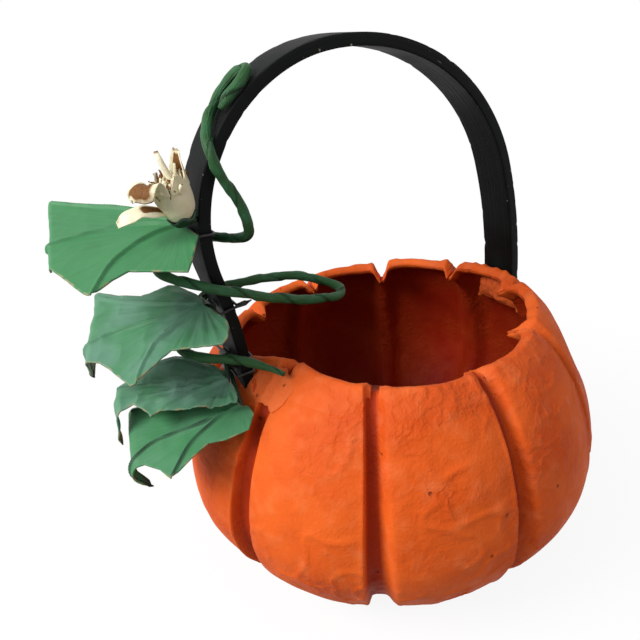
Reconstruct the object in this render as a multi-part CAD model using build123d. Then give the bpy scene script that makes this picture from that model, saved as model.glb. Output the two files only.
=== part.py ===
from build123d import *
import os
from math import cos, degrees, radians, sin, sqrt, tan

# Papier-mache pumpkin basket: an open lobed bowl with a rolled paper lip, a bentwood strap
# handle, a wire-cored vine wound round the strap, four paper leaves and a paper blossom.
# Millimetres, +Z up. The origin is the centre of the flat underside. X runs along the arch
# of the handle, from its left foot at -X to its right foot at +X, and -Y is the front.

# Bowl
lobe_count = 10
widest_radius = 132.0       # on the crests of the lobes
widest_height = 68.0
base_radius = 68.0          # flat underside
rim_height = 147.0          # top edge of the wall, which carries the lip, on the bowl's axis
rim_tilt = 6.0              # how far the top edge rises on its high side and falls on its low side
rim_high_side = 335.0       # degrees round from +X
shoulder_width = 48.0       # from the widest radius in to where the shoulder curve would turn level
shoulder_rise = 5.5         # from the rim up to that level
lower_power = 1.9           # roundness of the wall below its widest height
upper_power = 1.75          # roundness of the shoulder
wall = 5.0
floor_thickness = 6.0
groove_mouth = 12.0         # width of a groove at the surface
groove_floor = 6.0          # width of a groove at its bottom
groove_depth = 7.0
lobe_drop = 2.5             # how far a lobe falls away from its crest to its edges
sections_below = 6          # wall sections below the widest height
sections_above = 5          # and above it

# Lip: one rolled paper strip for each lobe
lip_width = 9.5
lip_height = 5.5
lip_side = 2.0              # straight side of the roll, under its round top
lip_overhang = 2.0          # how far the roll leans inwards off the middle of the edge
lip_notch = 8.0             # gap left between two strips over a groove

# Handle strap
strap_width = 26.0
strap_thickness = 6.4
strap_foot_out = 12.5           # left end, outside the crown of the shoulder
strap_foot_depth = 29.0         # left end, under the rim
strap_heading = 86.2            # degrees from +X at that end
# Bends from the left end: radius as a share of the half span, and degrees
strap_bends = ((2.97409, 17.5), (0.87047, -97.5), (1.19171, -80.0), (3.16062, -20.0))
strap_clearance = 0.3
patch_width = 44.0              # paper pad that beds each end of the strap inside the bowl
patch_depth = 17.0              # on each side of the strap's middle
patch_under = 6.0               # bottom of the pad, under the strap's end
patch_sunk = 9.5                # top of the pad, under the rim
patch_rounding = 4.0

# Vine: a wire wrapped in paper tape
vine_radius = 2.6
vine_wire_radius = 1.25
vine_gap = 0.4              # between the vine and the strap that it is wound on
vine_bend_share = 0.45      # share of the shorter run that a bend takes up

# Leaves
paper = 1.0
rib_radius = 0.9
stem_radius = 1.4
tie_radius = 0.8
tie_gap = 0.4               # between the tie wire and the strap
tie_corner = 1.6
tie_tail_radius = 1.1
tie_tail_length = 7.0
tie_tail_front = 2.3        # how far the tail's end stands forward
eye_wall = 1.7              # of the stem's eye, which turns on the tie wire
eye_length = 6.0
eye_clearance = 0.06
eye_standoff = 0.35         # between the eye and the strap
rib_inset = 4.0             # between a rib's end and the lobe's tip

# Blossom
cup_height = 22.0
cup_foot_radius = 4.5
cup_waist_radius = 8.2
cup_waist_height = 8.6
cup_mouth_radius = 8.8
petal_paper = 0.9
core_radius = 3.4
calyx_foot_radius = 3.0
calyx_depth = 1.8           # under the cup
calyx_height = 5.0          # up the cup's side
calyx_swell = 1.4           # outside the cup's foot
blossom_stem_radius = 1.4
long_petal_reach = 20.0     # out of the cup's side
long_petal_height = 10.5    # above the cup's foot
long_petal_spread = 26.0    # degrees round the cup
long_petal_angle = -4.0
long_petal_arch = 2.0
blossom_place = (121.2, -12.0, 10.0)    # its foot: along the strap, across it, out from its middle
blossom_stem_place = (121.5, -8.5)      # where the stem meets the strap: along it and across it
blossom_lean = 0.25                     # how far its axis leans out for each millimetre up
blossom_front = 0.05                    # and how far forward

crown_radius = widest_radius - shoulder_width
crown_height = rim_height + shoulder_rise
strap_half_span = crown_radius + strap_foot_out
strap_foot = (-strap_half_span, rim_height - strap_foot_depth)
strap_half_width = strap_width / 2
strap_half = strap_thickness / 2
lobe_pitch = 360 / lobe_count
eye_bore = tie_radius + eye_clearance
eye_radius = eye_bore + eye_wall
tie_out = strap_half + eye_standoff + eye_radius     # tie wire's outer run, from the strap's middle
vine_edge = strap_half_width + vine_radius + vine_gap
vine_face = strap_half + vine_radius + vine_gap


def wall_radius(height):
    """Crest radius of the outer wall at a height."""
    if height < widest_height:
        fall = (widest_height - height) / widest_height
        swell = (1 - fall**lower_power) ** (1 / lower_power)
        return base_radius + (widest_radius - base_radius) * swell
    rise = (height - widest_height) / (crown_height - widest_height)
    swell = (1 - rise**upper_power) ** (1 / upper_power)
    return crown_radius + (widest_radius - crown_radius) * swell


def inner_radius(height):
    """Crest radius of the inner wall, a wall's thickness inside the outer one."""
    step = 0.01
    slope = (wall_radius(height + step) - wall_radius(height - step)) / (2 * step)
    return wall_radius(height) - wall * sqrt(1 + slope**2)


def rim_lift(spot, height):
    """How far the tilt of the rim lifts a point of the level section at a height."""
    share = max(height - floor_thickness, 0) / (rim_height - floor_thickness)
    along = spot.X * cos(radians(rim_high_side)) + spot.Y * sin(radians(rim_high_side))
    return rim_tilt * share**2 * along / wall_radius(rim_height)


def polar(radius, angle, height):
    """Point of the section at a height, which tilts more and more towards the rim."""
    spot = Vector(radius * cos(radians(angle)), radius * sin(radians(angle)), height)
    return spot + Vector(0, 0, rim_lift(spot, height))


def rim_normal():
    """Direction square to the plane of the wall's top edge."""
    slope = rim_tilt / wall_radius(rim_height)
    return Vector(
        -slope * cos(radians(rim_high_side)), -slope * sin(radians(rim_high_side)), 1
    ).normalized()


def lobe_arc(radius, lobe, half_gap, height):
    """Arc along one lobe, from groove to groove, with half_gap left at each end."""
    middle = lobe * lobe_pitch
    reach = lobe_pitch / 2 - degrees(half_gap / radius)
    edge = radius - lobe_drop
    return ThreePointArc(
        polar(edge, middle - reach, height),
        polar(radius, middle, height),
        polar(edge, middle + reach, height),
    )


def lobed_loop(height, radius, mouth, floor):
    """Closed level section of the bowl: lobes with a flat-bottomed groove between them."""
    edges = []
    lobes = [lobe_arc(radius, lobe, mouth / 2, height) for lobe in range(lobe_count)]
    bottom = radius - groove_depth
    half_floor = degrees(floor / 2 / bottom)
    for lobe, arc in enumerate(lobes):
        groove = (lobe + 0.5) * lobe_pitch
        near = polar(bottom, groove - half_floor, height)
        far = polar(bottom, groove + half_floor, height)
        following = lobes[(lobe + 1) % lobe_count]
        edges += [arc, Line(arc @ 1, near), Line(near, far), Line(far, following @ 0)]
    return Wire(edges)


def section_heights(bottom):
    """Heights of the wall's sections, closer together where the wall turns most."""
    low = [
        widest_height - (widest_height - bottom) * cos(radians(90 * step / sections_below))
        for step in range(sections_below)
    ]
    high = [
        widest_height + (rim_height - widest_height) * step / sections_above
        for step in range(sections_above + 1)
    ]
    return low + high


def make_bowl():
    """Outer form of the bowl as a solid, up to its top edge."""
    heights = section_heights(0)
    return Solid.make_loft([lobed_loop(z, wall_radius(z), groove_mouth, groove_floor) for z in heights])


def make_hollow():
    """Space inside the bowl, where each groove shows as a ridge."""
    mouth = groove_mouth + 2 * wall
    floor = groove_floor + 2 * wall
    heights = section_heights(floor_thickness)
    return Solid.make_loft([lobed_loop(z, inner_radius(z), mouth, floor) for z in heights])


def make_lip(lobe):
    """Rolled strip that sits on the wall's top edge along one lobe."""
    middle = (wall_radius(rim_height) + inner_radius(rim_height)) / 2 - lip_overhang
    path = lobe_arc(middle, lobe, lip_notch / 2, rim_height)
    half = lip_width / 2
    roll = Wire([
        Line((-half, 0), (half, 0)),
        Line((half, 0), (half, lip_side)),
        ThreePointArc((half, lip_side), (0, lip_height), (-half, lip_side)),
        Line((-half, lip_side), (-half, 0)),
    ])
    seat = Plane(path @ 0, x_dir=rim_normal().cross(path % 0), z_dir=path % 0)
    return sweep(seat * Face(roll), path=path)


def strap_edge(out):
    """One long edge of the strap seen from the front, out from its middle line."""
    heading = Vector(1, 0).rotate(Axis.Z, strap_heading)
    start = Vector(*strap_foot) + heading.rotate(Axis.Z, 90) * out
    arcs = []
    for share, turn in strap_bends:
        inside = -out if turn > 0 else out
        arc = JernArc(start, heading, share * strap_half_span + inside, turn)
        arcs.append(arc)
        start = arc @ 1
        heading = arc % 1
    return arcs


def make_strap(clearance):
    outside = strap_edge(strap_half + clearance)
    inside = strap_edge(-strap_half - clearance)
    ends = [Line(outside[0] @ 0, inside[0] @ 0), Line(outside[-1] @ 1, inside[-1] @ 1)]
    side = Plane.XZ * Face(Wire(outside + inside + ends))
    return extrude(side, amount=strap_half_width + clearance, both=True)


middle_line = Plane.XZ * Wire(strap_edge(0))
strap_length = middle_line.length


def on_strap(along, across, out):
    """Point at a length along the strap from its left end, across it and out from its middle."""
    ahead = middle_line.tangent_at(along / strap_length)
    spot = middle_line.position_at(along / strap_length)
    return spot + ahead.cross(Vector(0, 1, 0)) * out + Vector(0, across, 0)


def make_patch(end):
    """Paper pad that beds one end of the strap against the wall, inside the bowl."""
    spot = middle_line.position_at(end)
    bottom = spot.Z - patch_under
    top = rim_height + rim_lift(spot, rim_height) - patch_sunk
    pad = Box(2 * patch_depth, patch_width, top - bottom)
    pad = fillet(pad.edges(), patch_rounding)
    return Location((spot.X, 0, (top + bottom) / 2)) * pad


def rounded_route(points):
    """Straight runs joined by tangent arcs as large as the runs allow."""
    radii = []
    for before, corner, after in zip(points, points[1:], points[2:]):
        run = min((corner - before).length, (after - corner).length)
        turn = (corner - before).get_angle(after - corner)
        radii.append(vine_bend_share * run / tan(radians(turn / 2)))
    return FilletPolyline(points, radius=radii), radii


def tube(path, radius, hollow=0.0):
    section = Circle(radius)
    if hollow:
        section -= Circle(hollow)
    return sweep(Plane(path @ 0, z_dir=path % 0) * section, path=path)


def rod(start, end, radius):
    axis = end - start
    return Plane(start, z_dir=axis) * Cylinder(
        radius, axis.length, align=(Align.CENTER, Align.CENTER, Align.MIN)
    )


# Route of the vine, chosen by hand: length along the strap, place across it, and out from it.
# It starts in a loop lying on the strap's outer face, then winds down round the left leg.
vine_route = (
    (170.5, -9.8, vine_face + 0.2), (179, -10.6, vine_face + 0.2), (187, -9.4, vine_face + 0.4),
    (192.5, -5.8, vine_face + 0.8), (192.5, -0.8, vine_face + 0.8), (187, 2.4, vine_face + 0.4),
    (179, 3, vine_face + 0.2), (171, 1, vine_face + 0.2), (163, -5, vine_face + 0.4),
    (155.5, -13.2, vine_face + 1), (148.5, -vine_edge - 1.9, 2.6), (140, -vine_edge - 1.6, -7),
    (131, -vine_edge - 1.4, -15), (120, -vine_edge - 1, -20.5), (110.5, -14, -22),
    (106, -9, -21.5), (104, -2, -18),
    (104, 8, -vine_face - 3.5), (103.5, vine_edge + 2.5, -5), (102, vine_edge + 2.5, 6),
    (102, 12, 19), (100.5, -3, 26), (93.5, -14, 14), (85.3, -vine_edge - 1.5, 1),
    (73.7, -vine_edge - 3, -15), (61.2, -17.5, -37), (51.8, -12, -59.5), (48.4, -3, -72.5),
    (51, 6, -70), (58.5, 11.5, -56.4), (65, 13.5, -37), (68, 15, -19.4),
    (70.5, vine_edge + 2.7, -7), (68.5, vine_edge + 2.7, 6), (63, 11, 22), (56, -2, 31),
    (51.8, -13, 23), (44, -vine_edge - 1.6, 5.5), (38.5, -23.5, -6), (34.8, -34, -12.5),
)


# One entry for each leaf, from the top down. tie is the tie wire's place along the strap,
# root is where the ribs meet, from the tie wire, and turn, lean and droop set the blade: degrees
# round from -X to the back, up at its back edge, and down at its tip. The outline is (out, front)
# from the root. The blade is flat as far as bend, then turns down through fold degrees.
leaf_forms = (
    dict(
        tie=113.5, root=(-2.28, -5.0, 5.54), turn=12, lean=12, droop=6,
        bend=61.5, bend_radius=3.0, fold=78, flap=3.0,
        outline=(
            (0, 2), (-5, 14), (1, 33), (4, 41), (29, 28), (46, 40), (56, 22), (62, 8),
            (66, 4), (66, -60), (61, -60), (50, -50), (27, -35), (18, -27), (4, -8), (1, -2),
        ),
        ribs=((46, 39), (60, -12), (60, -56)),
    ),
    dict(
        tie=71.5, root=(-4.84, -5.0, 4.82), turn=24, lean=14, droop=10,
        bend=58.5, bend_radius=6.0, fold=75, flap=15.0,
        outline=(
            (0, 2), (-4, 3), (-13, 19), (-13, 27), (-10, 35), (16, 30), (32, 47), (53, 25),
            (61, 20), (65, 15), (69, 9), (69, 2), (65, -6), (65, -33), (61, -34), (36, -22),
            (19, -25), (-1, -5),
        ),
        ribs=((32, 46), (58, 7), (59, -30)),
    ),
    dict(
        tie=39.5, root=(-5.71, -12.0, -7.33), turn=20, lean=14, droop=10,
        bend=58.5, bend_radius=5.0, fold=75, flap=12.0,
        outline=(
            (0, 2), (-5, 13), (-4, 20), (13, 16), (38, 12), (41, 15), (44, 9), (52, 1),
            (58, 3.5), (64, 7), (67, 5), (67, -1), (63, -8), (61, -15), (57, -19), (49, -26),
            (40, -29), (28, -29), (19, -24), (-1, -8),
        ),
        ribs=((41, 14), (56, -8), (46, -26)),
    ),
    dict(
        tie=31.5, root=(-4.06, -22.0, -11.72), turn=15, lean=16, droop=12,
        bend=56.5, bend_radius=4.5, fold=75, flap=12.0,
        outline=(
            (0, 1), (-6, 9), (-3, 15), (3, 17), (22, 17), (42, 30), (54, 15), (59, 19),
            (65, 19), (64, 7), (61, 1), (60, -25), (37, -21), (18, -14), (1, -3),
        ),
        ribs=((42, 30), (55, 6), (55, -22)),
    ),
)


def leaf_plane(form):
    """Plane of a blade: x out along the leaf, y to its front, z off its upper face."""
    turn, lean, droop = radians(form["turn"]), radians(form["lean"]), radians(form["droop"])
    level = Vector(-cos(turn), sin(turn), 0)
    away = Vector(sin(turn), cos(turn), 0)
    up = Vector(0, 0, 1)
    face = up * cos(lean) - away * sin(lean)
    out = level * cos(droop) - face * sin(droop)
    root = on_strap(form["tie"], 0, tie_out) + Vector(form["root"])
    return Plane(root, x_dir=out, z_dir=face * cos(droop) + level * sin(droop))


def bent_line(form, level):
    """Side view of one face of a blade: flat as far as the bend, then down through the fold."""
    start = (min(out for out, _ in form["outline"]) - paper, level)
    corner = (form["bend"], level)
    curve = JernArc(corner, (1, 0), form["bend_radius"] + level, -form["fold"])
    return [Line(start, corner), curve, Line(curve @ 1, (curve @ 1) + (curve % 1) * form["flap"])]


def make_blade(form, stem):
    """Sheet bent down past a fold line, cut to the leaf's outline."""
    reach = max(abs(front) for _, front in form["outline"]) + paper
    drop = form["bend_radius"] + form["flap"] + paper
    upper = bent_line(form, 0)
    lower = bent_line(form, -paper)
    ends = [Line(upper[0] @ 0, lower[0] @ 0), Line(upper[-1] @ 1, lower[-1] @ 1)]
    sheet = extrude(Plane.XZ * Face(Wire(upper + lower + ends)), reach, both=True)
    outline = Face(Wire.make_polygon([Vector(out, front) for out, front in form["outline"]]))
    cutter = extrude(outline, 2 * drop, both=True)
    return leaf_plane(form) * (sheet & cutter) - stem


def make_ribs(form, stem):
    """Wires under the blade, from the leaf's root towards the tips of its lobes."""
    root = Vector(0, 0, -paper - rib_radius)
    ribs = []
    for out, front in form["ribs"]:
        reach = Vector(out, front, 0)
        tip = root + reach.normalized() * (reach.length - rib_inset)
        ribs.append(rod(root, tip, rib_radius))
    fan = ribs[0] + ribs[1:] + Location(root) * Sphere(rib_radius)
    return leaf_plane(form) * fan - stem


def make_stem(form):
    """Wire stem with an eye that turns on the tie wire."""
    pivot = on_strap(form["tie"], 0, tie_out)
    root = leaf_plane(form).from_local_coords(Vector(0, 0, -paper - stem_radius))
    axis = Plane(pivot, z_dir=(0, 1, 0))
    stem = rod(pivot, root, stem_radius) + Location(root) * Sphere(stem_radius)
    return stem + axis * Cylinder(eye_radius, eye_length) - axis * Cylinder(eye_bore, 4 * eye_length)


def make_tie(form):
    """Wire loop round the strap, with its twisted ends in a short tail at the front."""
    side = strap_half_width + tie_gap + tie_radius
    back = -strap_half - tie_gap - tie_radius
    corners = ((-side, tie_out), (side, tie_out), (side, back), (-side, back))
    points = [on_strap(form["tie"], across, out) for across, out in corners]
    loop = FilletPolyline(points, radius=tie_corner, close=True)
    start = on_strap(form["tie"], tie_corner - side, back)
    tail = rod(start, start + Vector(tie_tail_length, -tie_tail_front, 0), tie_tail_radius)
    return tube(loop, tie_radius) + tail


# Blossom: its foot stands just off the strap's outer face, and its mouth leans out and up.
blossom = Plane(
    on_strap(*blossom_place), x_dir=(-1, 0, -blossom_lean), z_dir=(-blossom_lean, -blossom_front, 1)
)


def turned(edges, angle=360.0, start=0.0):
    """Solid of revolution about the blossom's own axis, from a profile of radius and height."""
    face = Plane.XZ * Face(Wire(edges))
    return blossom * (Rotation(0, 0, start) * revolve(face, Axis.Z, angle))


def cup_side(inset):
    foot = (cup_foot_radius - inset, inset)
    waist = (cup_waist_radius - inset, cup_waist_height)
    return ThreePointArc(foot, waist, (cup_mouth_radius - inset, cup_height))


def make_cup(solid=False):
    outer = cup_side(0)
    if solid:
        return turned([
            outer, Line(outer @ 1, (0, cup_height)), Line((0, cup_height), (0, 0)), Line((0, 0), outer @ 0)
        ])
    inner = cup_side(petal_paper)
    return turned([
        outer, Line(outer @ 1, inner @ 1), inner, Line(inner @ 0, (0, petal_paper)),
        Line((0, petal_paper), (0, 0)), Line((0, 0), outer @ 0),
    ])


# Petals that stand on the cup's mouth: middle angle, spread, length, curl radius and curl degrees.
standing_petals = dict(
    blossom_petal_back=(215, 84, 2.5, 9.0, 50),
    blossom_petal_left=(0, 76, 1.5, 3.6, 150),
    blossom_petal_front=(105, 60, 1.5, 14.0, 15),
)


def make_petal(middle, spread, length, curl_radius, curl):
    """Petal that rises from the mouth of the cup and curls outwards."""
    def rim_curve(radius, bend):
        rise = Line((radius, cup_height), (radius, cup_height + length))
        return [rise, JernArc(rise @ 1, (0, 1), bend, -curl)]

    outer = rim_curve(cup_mouth_radius, curl_radius)
    inner = rim_curve(cup_mouth_radius - petal_paper, curl_radius + petal_paper)
    ends = [Line(outer[0] @ 0, inner[0] @ 0), Line(outer[1] @ 1, inner[1] @ 1)]
    return turned(outer + inner + ends, spread, middle - spread / 2)


def long_petal_face(level):
    """Side view of one face of the loose petal, arched from the cup's side to the tip."""
    root = (cup_foot_radius, level)
    middle = (cup_waist_radius + long_petal_reach / 2, level + long_petal_arch)
    return ThreePointArc(root, middle, (cup_waist_radius + long_petal_reach, level - petal_paper))


def make_long_petal():
    """Loose petal that hangs out over the top leaf from the side of the cup."""
    upper = long_petal_face(long_petal_height)
    lower = long_petal_face(long_petal_height - petal_paper)
    edges = [upper, lower, Line(upper @ 0, lower @ 0), Line(upper @ 1, lower @ 1)]
    petal = turned(edges, long_petal_spread, long_petal_angle - long_petal_spread / 2)
    return petal - make_cup(solid=True)


def make_calyx():
    """Green collar that holds the foot of the cup."""
    foot = (calyx_foot_radius, -calyx_depth)
    top = (cup_waist_radius, calyx_height)
    side = ThreePointArc(foot, (cup_foot_radius + calyx_swell, 0), top)
    edges = [side, Line(top, (0, calyx_height)), Line((0, calyx_height), (0, -calyx_depth))]
    edges.append(Line((0, -calyx_depth), foot))
    return turned(edges) - make_cup(solid=True)


def make_blossom_stem(strap):
    """Short stem from the calyx into the strap's outer face."""
    foot = on_strap(*blossom_stem_place, 0)
    top = blossom.from_local_coords(Vector(0, 0, -calyx_depth))
    cut = blossom * Location((0, 0, -calyx_depth)) * Cylinder(
        4 * calyx_foot_radius, 2 * calyx_depth, align=(Align.CENTER, Align.CENTER, Align.MIN)
    )
    beyond = top + (top - foot).normalized() * calyx_depth
    return rod(foot, beyond, blossom_stem_radius) - strap - cut


def make_core():
    foot = blossom * Location((0, 0, petal_paper))
    return foot * Cylinder(
        core_radius, cup_height - petal_paper, align=(Align.CENTER, Align.CENTER, Align.MIN)
    )


strap = make_strap(0)
slot = make_strap(strap_clearance)
hollow = make_hollow()
bowl = make_bowl() - hollow - slot

nodes = {"bowl_shell": bowl}
for lobe in range(lobe_count):
    nodes[f"rim_strip_{lobe + 1:02d}"] = make_lip(lobe) - slot
nodes["handle_strap"] = strap
for side, end in (("left", 0), ("right", 1)):
    nodes[f"handle_patch_{side}"] = (make_patch(end) & hollow) - strap

route, radii = rounded_route([on_strap(*spot) for spot in vine_route])
nodes["vine_wrap"] = tube(route, vine_radius, vine_wire_radius)
nodes["vine_wire"] = tube(route, vine_wire_radius)
print("vine bend radii", [round(radius, 1) for radius in radii])
print("vine length", round(route.length, 1))

for number, form in enumerate(leaf_forms, start=1):
    stem = make_stem(form)
    nodes[f"leaf_{number}_stem"] = stem
    nodes[f"leaf_{number}_blade"] = make_blade(form, stem)
    nodes[f"leaf_{number}_ribs"] = make_ribs(form, stem)
    nodes[f"leaf_{number}_tie"] = make_tie(form)
    print(f"leaf_{number} pivot", on_strap(form["tie"], 0, tie_out))

nodes["blossom_cup"] = make_cup()
for name, petal in standing_petals.items():
    nodes[name] = make_petal(*petal)
nodes["blossom_petal_long"] = make_long_petal()
nodes["blossom_core"] = make_core()
nodes["blossom_calyx"] = make_calyx()
nodes["blossom_stem"] = make_blossom_stem(strap)

os.makedirs("parts", exist_ok=True)
for name, solid in nodes.items():
    export_step(solid, f"parts/{name}.step")
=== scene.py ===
import math
import random

import bpy
from bpy.props import FloatProperty, FloatVectorProperty, IntProperty, PointerProperty
from mathutils import Matrix, Vector, noise
from mathutils.geometry import delaunay_2d_cdt, intersect_point_line


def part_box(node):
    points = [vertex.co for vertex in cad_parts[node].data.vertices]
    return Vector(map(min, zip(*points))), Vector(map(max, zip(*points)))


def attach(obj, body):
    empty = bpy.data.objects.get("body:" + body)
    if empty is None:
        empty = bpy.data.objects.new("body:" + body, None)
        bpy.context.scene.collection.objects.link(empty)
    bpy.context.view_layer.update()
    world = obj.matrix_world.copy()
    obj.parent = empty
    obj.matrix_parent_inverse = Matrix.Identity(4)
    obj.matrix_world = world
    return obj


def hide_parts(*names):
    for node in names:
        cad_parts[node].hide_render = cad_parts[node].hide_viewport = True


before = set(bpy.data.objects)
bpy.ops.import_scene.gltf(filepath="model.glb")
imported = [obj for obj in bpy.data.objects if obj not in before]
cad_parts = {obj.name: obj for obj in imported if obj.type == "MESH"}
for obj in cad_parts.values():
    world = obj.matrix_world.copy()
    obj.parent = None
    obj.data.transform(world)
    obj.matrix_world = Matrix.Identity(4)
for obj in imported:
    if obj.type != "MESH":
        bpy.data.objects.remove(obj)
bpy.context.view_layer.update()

# Papier-mache pumpkin basket. The shapes below are worked out in millimetres, in the frame of the
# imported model, and each mesh is turned to metres as it is made. X runs along the handle's arch,
# with the leaves at -X, and -Y is the front.

bl_info = {
    "name": "Pumpkin basket",
    "version": (1, 0, 0),
    "blender": (4, 5, 0),
    "location": "View3D > Sidebar > Basket",
    "description": "Dresses a papier-mache pumpkin basket with its paint, handle, vine, leaves and blossom",
    "category": "Object",
}

MM = 0.001
BASKET = "basket"
# Sockets of the colour mix node, which has no unique names for them
MIX, FIRST, SECOND, MIXED = 0, 6, 7, 2


def linear(code):
    """Linear colour from an sRGB hex code."""
    channels = [int(code[start:start + 2], 16) / 255 for start in (1, 3, 5)]
    return [c / 12.92 if c <= 0.04045 else ((c + 0.055) / 1.055) ** 2.4 for c in channels]


def per_mm(width):
    """Scale of a pattern whose features are this many millimetres across."""
    return 1 / (width * MM)


def size(name, description, millimetres):
    return FloatProperty(name=name, description=description, default=millimetres * MM, unit="LENGTH")


def turn(name, description, angle):
    return FloatProperty(name=name, description=description, default=math.radians(angle), unit="ROTATION")


def colour(name, description, code):
    return FloatVectorProperty(
        name=name, description=description, default=linear(code), subtype="COLOR", min=0, max=1
    )


def pointer(group, name, description):
    return PointerProperty(type=group, name=name, description=description)


class BowlSettings(bpy.types.PropertyGroup):
    lobes: IntProperty(name="Lobes", description="Lobes round the bowl", default=10, min=3)
    radius: size("Radius", "Crest of the lobes at the widest height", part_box("bowl_shell")[1].x / MM)
    widest_height: size("Widest height", "Height of the widest part", 68)
    base_radius: size("Base radius", "Flat underside", 68)
    crown_radius: size("Crown radius", "Where the shoulder would turn level", 84)
    crown_height: size("Crown height", "Height at which the shoulder would turn level", 152.5)
    rim_height: size("Rim height", "Top edge of the wall, on the bowl's axis", 147)
    rim_tilt: size("Rim tilt", "Rise of the rim at its high side", 6)
    rim_high_side: turn("High side", "Angle at which the rim is highest", 335)
    wall: size("Wall", "Thickness of the pasted paper", 5)
    floor: size("Floor", "Thickness of the bottom", 6)
    groove_depth: size("Groove depth", "Depth of the grooves between lobes", 7)
    lobe_drop: size("Lobe drop", "Fall of a lobe from its crest to its edges", 2.5)
    paint: colour("Paint", "Brushed orange", "#DF5F1E")
    paint_deep: colour("Deep paint", "Orange where the coat is thick", "#C94B12")
    paint_dry: colour("Dry brush", "Paler rubbed paint", "#EE8A58")
    # Painted shade: red-orange laid into the grooves, darkest on their floors
    groove_paint: colour("Groove paint", "Red-orange left in the grooves", "#9C2C08")
    inside_paint: colour("Inside paint", "Red-brown inside", "#8E1B04")
    inside_warm: colour("Inside warm", "Where the inside coat is thin", "#9C300C")
    fleck: colour("Fleck", "Dents and dirt", "#6A260E")
    speck: colour("Speck", "Bare paper in pinholes", "#F2B48C")


class HandleSettings(bpy.types.PropertyGroup):
    width: size(
        "Width", "Width of the lath", (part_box("handle_strap")[1].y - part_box("handle_strap")[0].y) / MM
    )
    thickness: size("Thickness", "Thickness of the lath", 6.4)
    edge: size("Edge", "Rounding of the lath's long edges", 0.9)
    paint: colour("Paint", "Black paint", "#060807")
    paint_grey: colour("Worn paint", "Greyer where hands have rubbed it", "#141918")
    chip: colour("Chip", "Pale wood under chipped paint", "#A59C88")


class VineSettings(bpy.types.PropertyGroup):
    radius: size("Radius", "Radius of the taped wire", 2.6)
    tape_pitch: size("Tape pitch", "Length of one turn of the tape", 26)
    tape_step: size("Tape step", "Height of the tape's lapped edge", 0.9)
    tape: colour("Tape", "Green paper tape", "#2B542E")
    # Painted shade along the tape's lapped edge, and darker tape in random patches
    tape_dark: colour("Dark tape", "Tape in its folds", "#0E200F")
    tape_pale: colour("Pale tape", "Rubbed tape", "#38704E")


class LeafSettings(bpy.types.PropertyGroup):
    paper: size("Paper", "Thickness of the stiff paper", 0.8)
    rib_radius: size("Rib radius", "Radius of the wires under the blade", 0.7)
    rib_height: size("Rib height", "How far a rib lifts the paper", 2.0)
    rib_spread: size("Rib spread", "Half the width of the paper lifted over a rib", 0.8)
    grid: size("Grid", "Spacing of the blade's mesh", 0.75)
    green: colour("Green", "Brushed green", "#3E7C4D")
    green_deep: colour("Deep green", "Thick green paint", "#336A42")
    green_grey: colour("Grey green", "Chalky green on worn paper", "#628876")
    # Colour of the dark line painted along each rib
    rib_dark: colour("Rib", "Dark line of dirt and bare wire along a rib", "#1D3528")
    cut_edge: colour("Cut edge", "Bare paper at the edges", "#8F8B66")
    tip: colour("Tip", "Dark dried paint on the rolled tips", "#262C1E")
    stem: colour("Stem", "Dark green wire", "#1E3826")


class BlossomSettings(bpy.types.PropertyGroup):
    paper: size("Paper", "Thickness of a petal", 0.6)
    cream: colour("Cream", "Cream paper", "#EAE2C4")
    cream_dull: colour("Dull cream", "Cream in its folds", "#DACFA8")
    brown: colour("Brown", "Scorched edges and insides", "#8A5826")
    umber: colour("Umber", "Darkest brown", "#38220E")


class WireSettings(bpy.types.PropertyGroup):
    wire: colour("Wire", "Black annealed wire", "#141414")
    shine: colour("Rubbed wire", "Where the black is rubbed", "#3A3A3A")


class StageSettings(bpy.types.PropertyGroup):
    azimuth: turn("Azimuth", "Camera's turn about the vertical", -27.728)
    elevation: turn("Elevation", "Camera's height above the level", 26.422)
    roll: turn("Roll", "Camera's roll about its own axis", -5.166)
    distance: size("Distance", "From the aimed point to the camera", 392.342)
    aim_side: size("Aim side", "Aimed point, to the camera's right", -36.967)
    aim_height: size("Aim height", "Height of the aimed point", 149.13)
    lens: FloatProperty(name="Lens", description="Focal length in mm on a 36 mm frame", default=35.126)
    floor: colour("Floor", "Pale floor as the camera sees it", "#F4F3F0")
    floor_bounce: colour("Floor bounce", "Floor as the basket's shaded side sees it", "#8A8784")


class BasketSettings(bpy.types.PropertyGroup):
    bowl: pointer(BowlSettings, "Bowl", "Sizes and paint of the bowl")
    handle: pointer(HandleSettings, "Handle", "Sizes and paint of the handle")
    vine: pointer(VineSettings, "Vine", "Sizes and tape of the vine")
    leaf: pointer(LeafSettings, "Leaves", "Sizes and paint of the leaves")
    blossom: pointer(BlossomSettings, "Blossom", "Sizes and paper of the blossom")
    wire: pointer(WireSettings, "Wire", "Look of the tie wires")
    stage: pointer(StageSettings, "Stage", "Camera and floor")


# Small tools

def ramp(low, high, value):
    """0 up to low, 1 from high on, and a smooth step between them."""
    share = min(max((value - low) / (high - low), 0), 1)
    return share * share * (3 - 2 * share)


def mix(first, second, share):
    return first + (second - first) * share


def table(value, points):
    """Value read from a short list of (place, value) points, straight between them."""
    for (x0, y0), (x1, y1) in zip(points, points[1:]):
        if value <= x1:
            return mix(y0, y1, max(value - x0, 0) / (x1 - x0))
    return points[-1][1]


def lumps(point, width, seed=0):
    """Smooth random height from about -1 to 1, with lumps about this wide."""
    return noise.noise(Vector(point) / width + Vector((seed * 7.3, seed * 3.1, seed * 5.7)))


def near_line(point, line):
    """Distance from a flat point to a line of points, and the length along the line there."""
    best = (1e9, 0)
    passed = 0
    for start, end in zip(line, line[1:]):
        _, share = intersect_point_line(point, start, end)
        share = min(max(share, 0), 1)
        spot = start.lerp(end, share)
        run = (end - start).length
        gap = (point - spot).length
        if gap < best[0]:
            best = (gap, passed + run * share)
        passed += run
    return best


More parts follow.
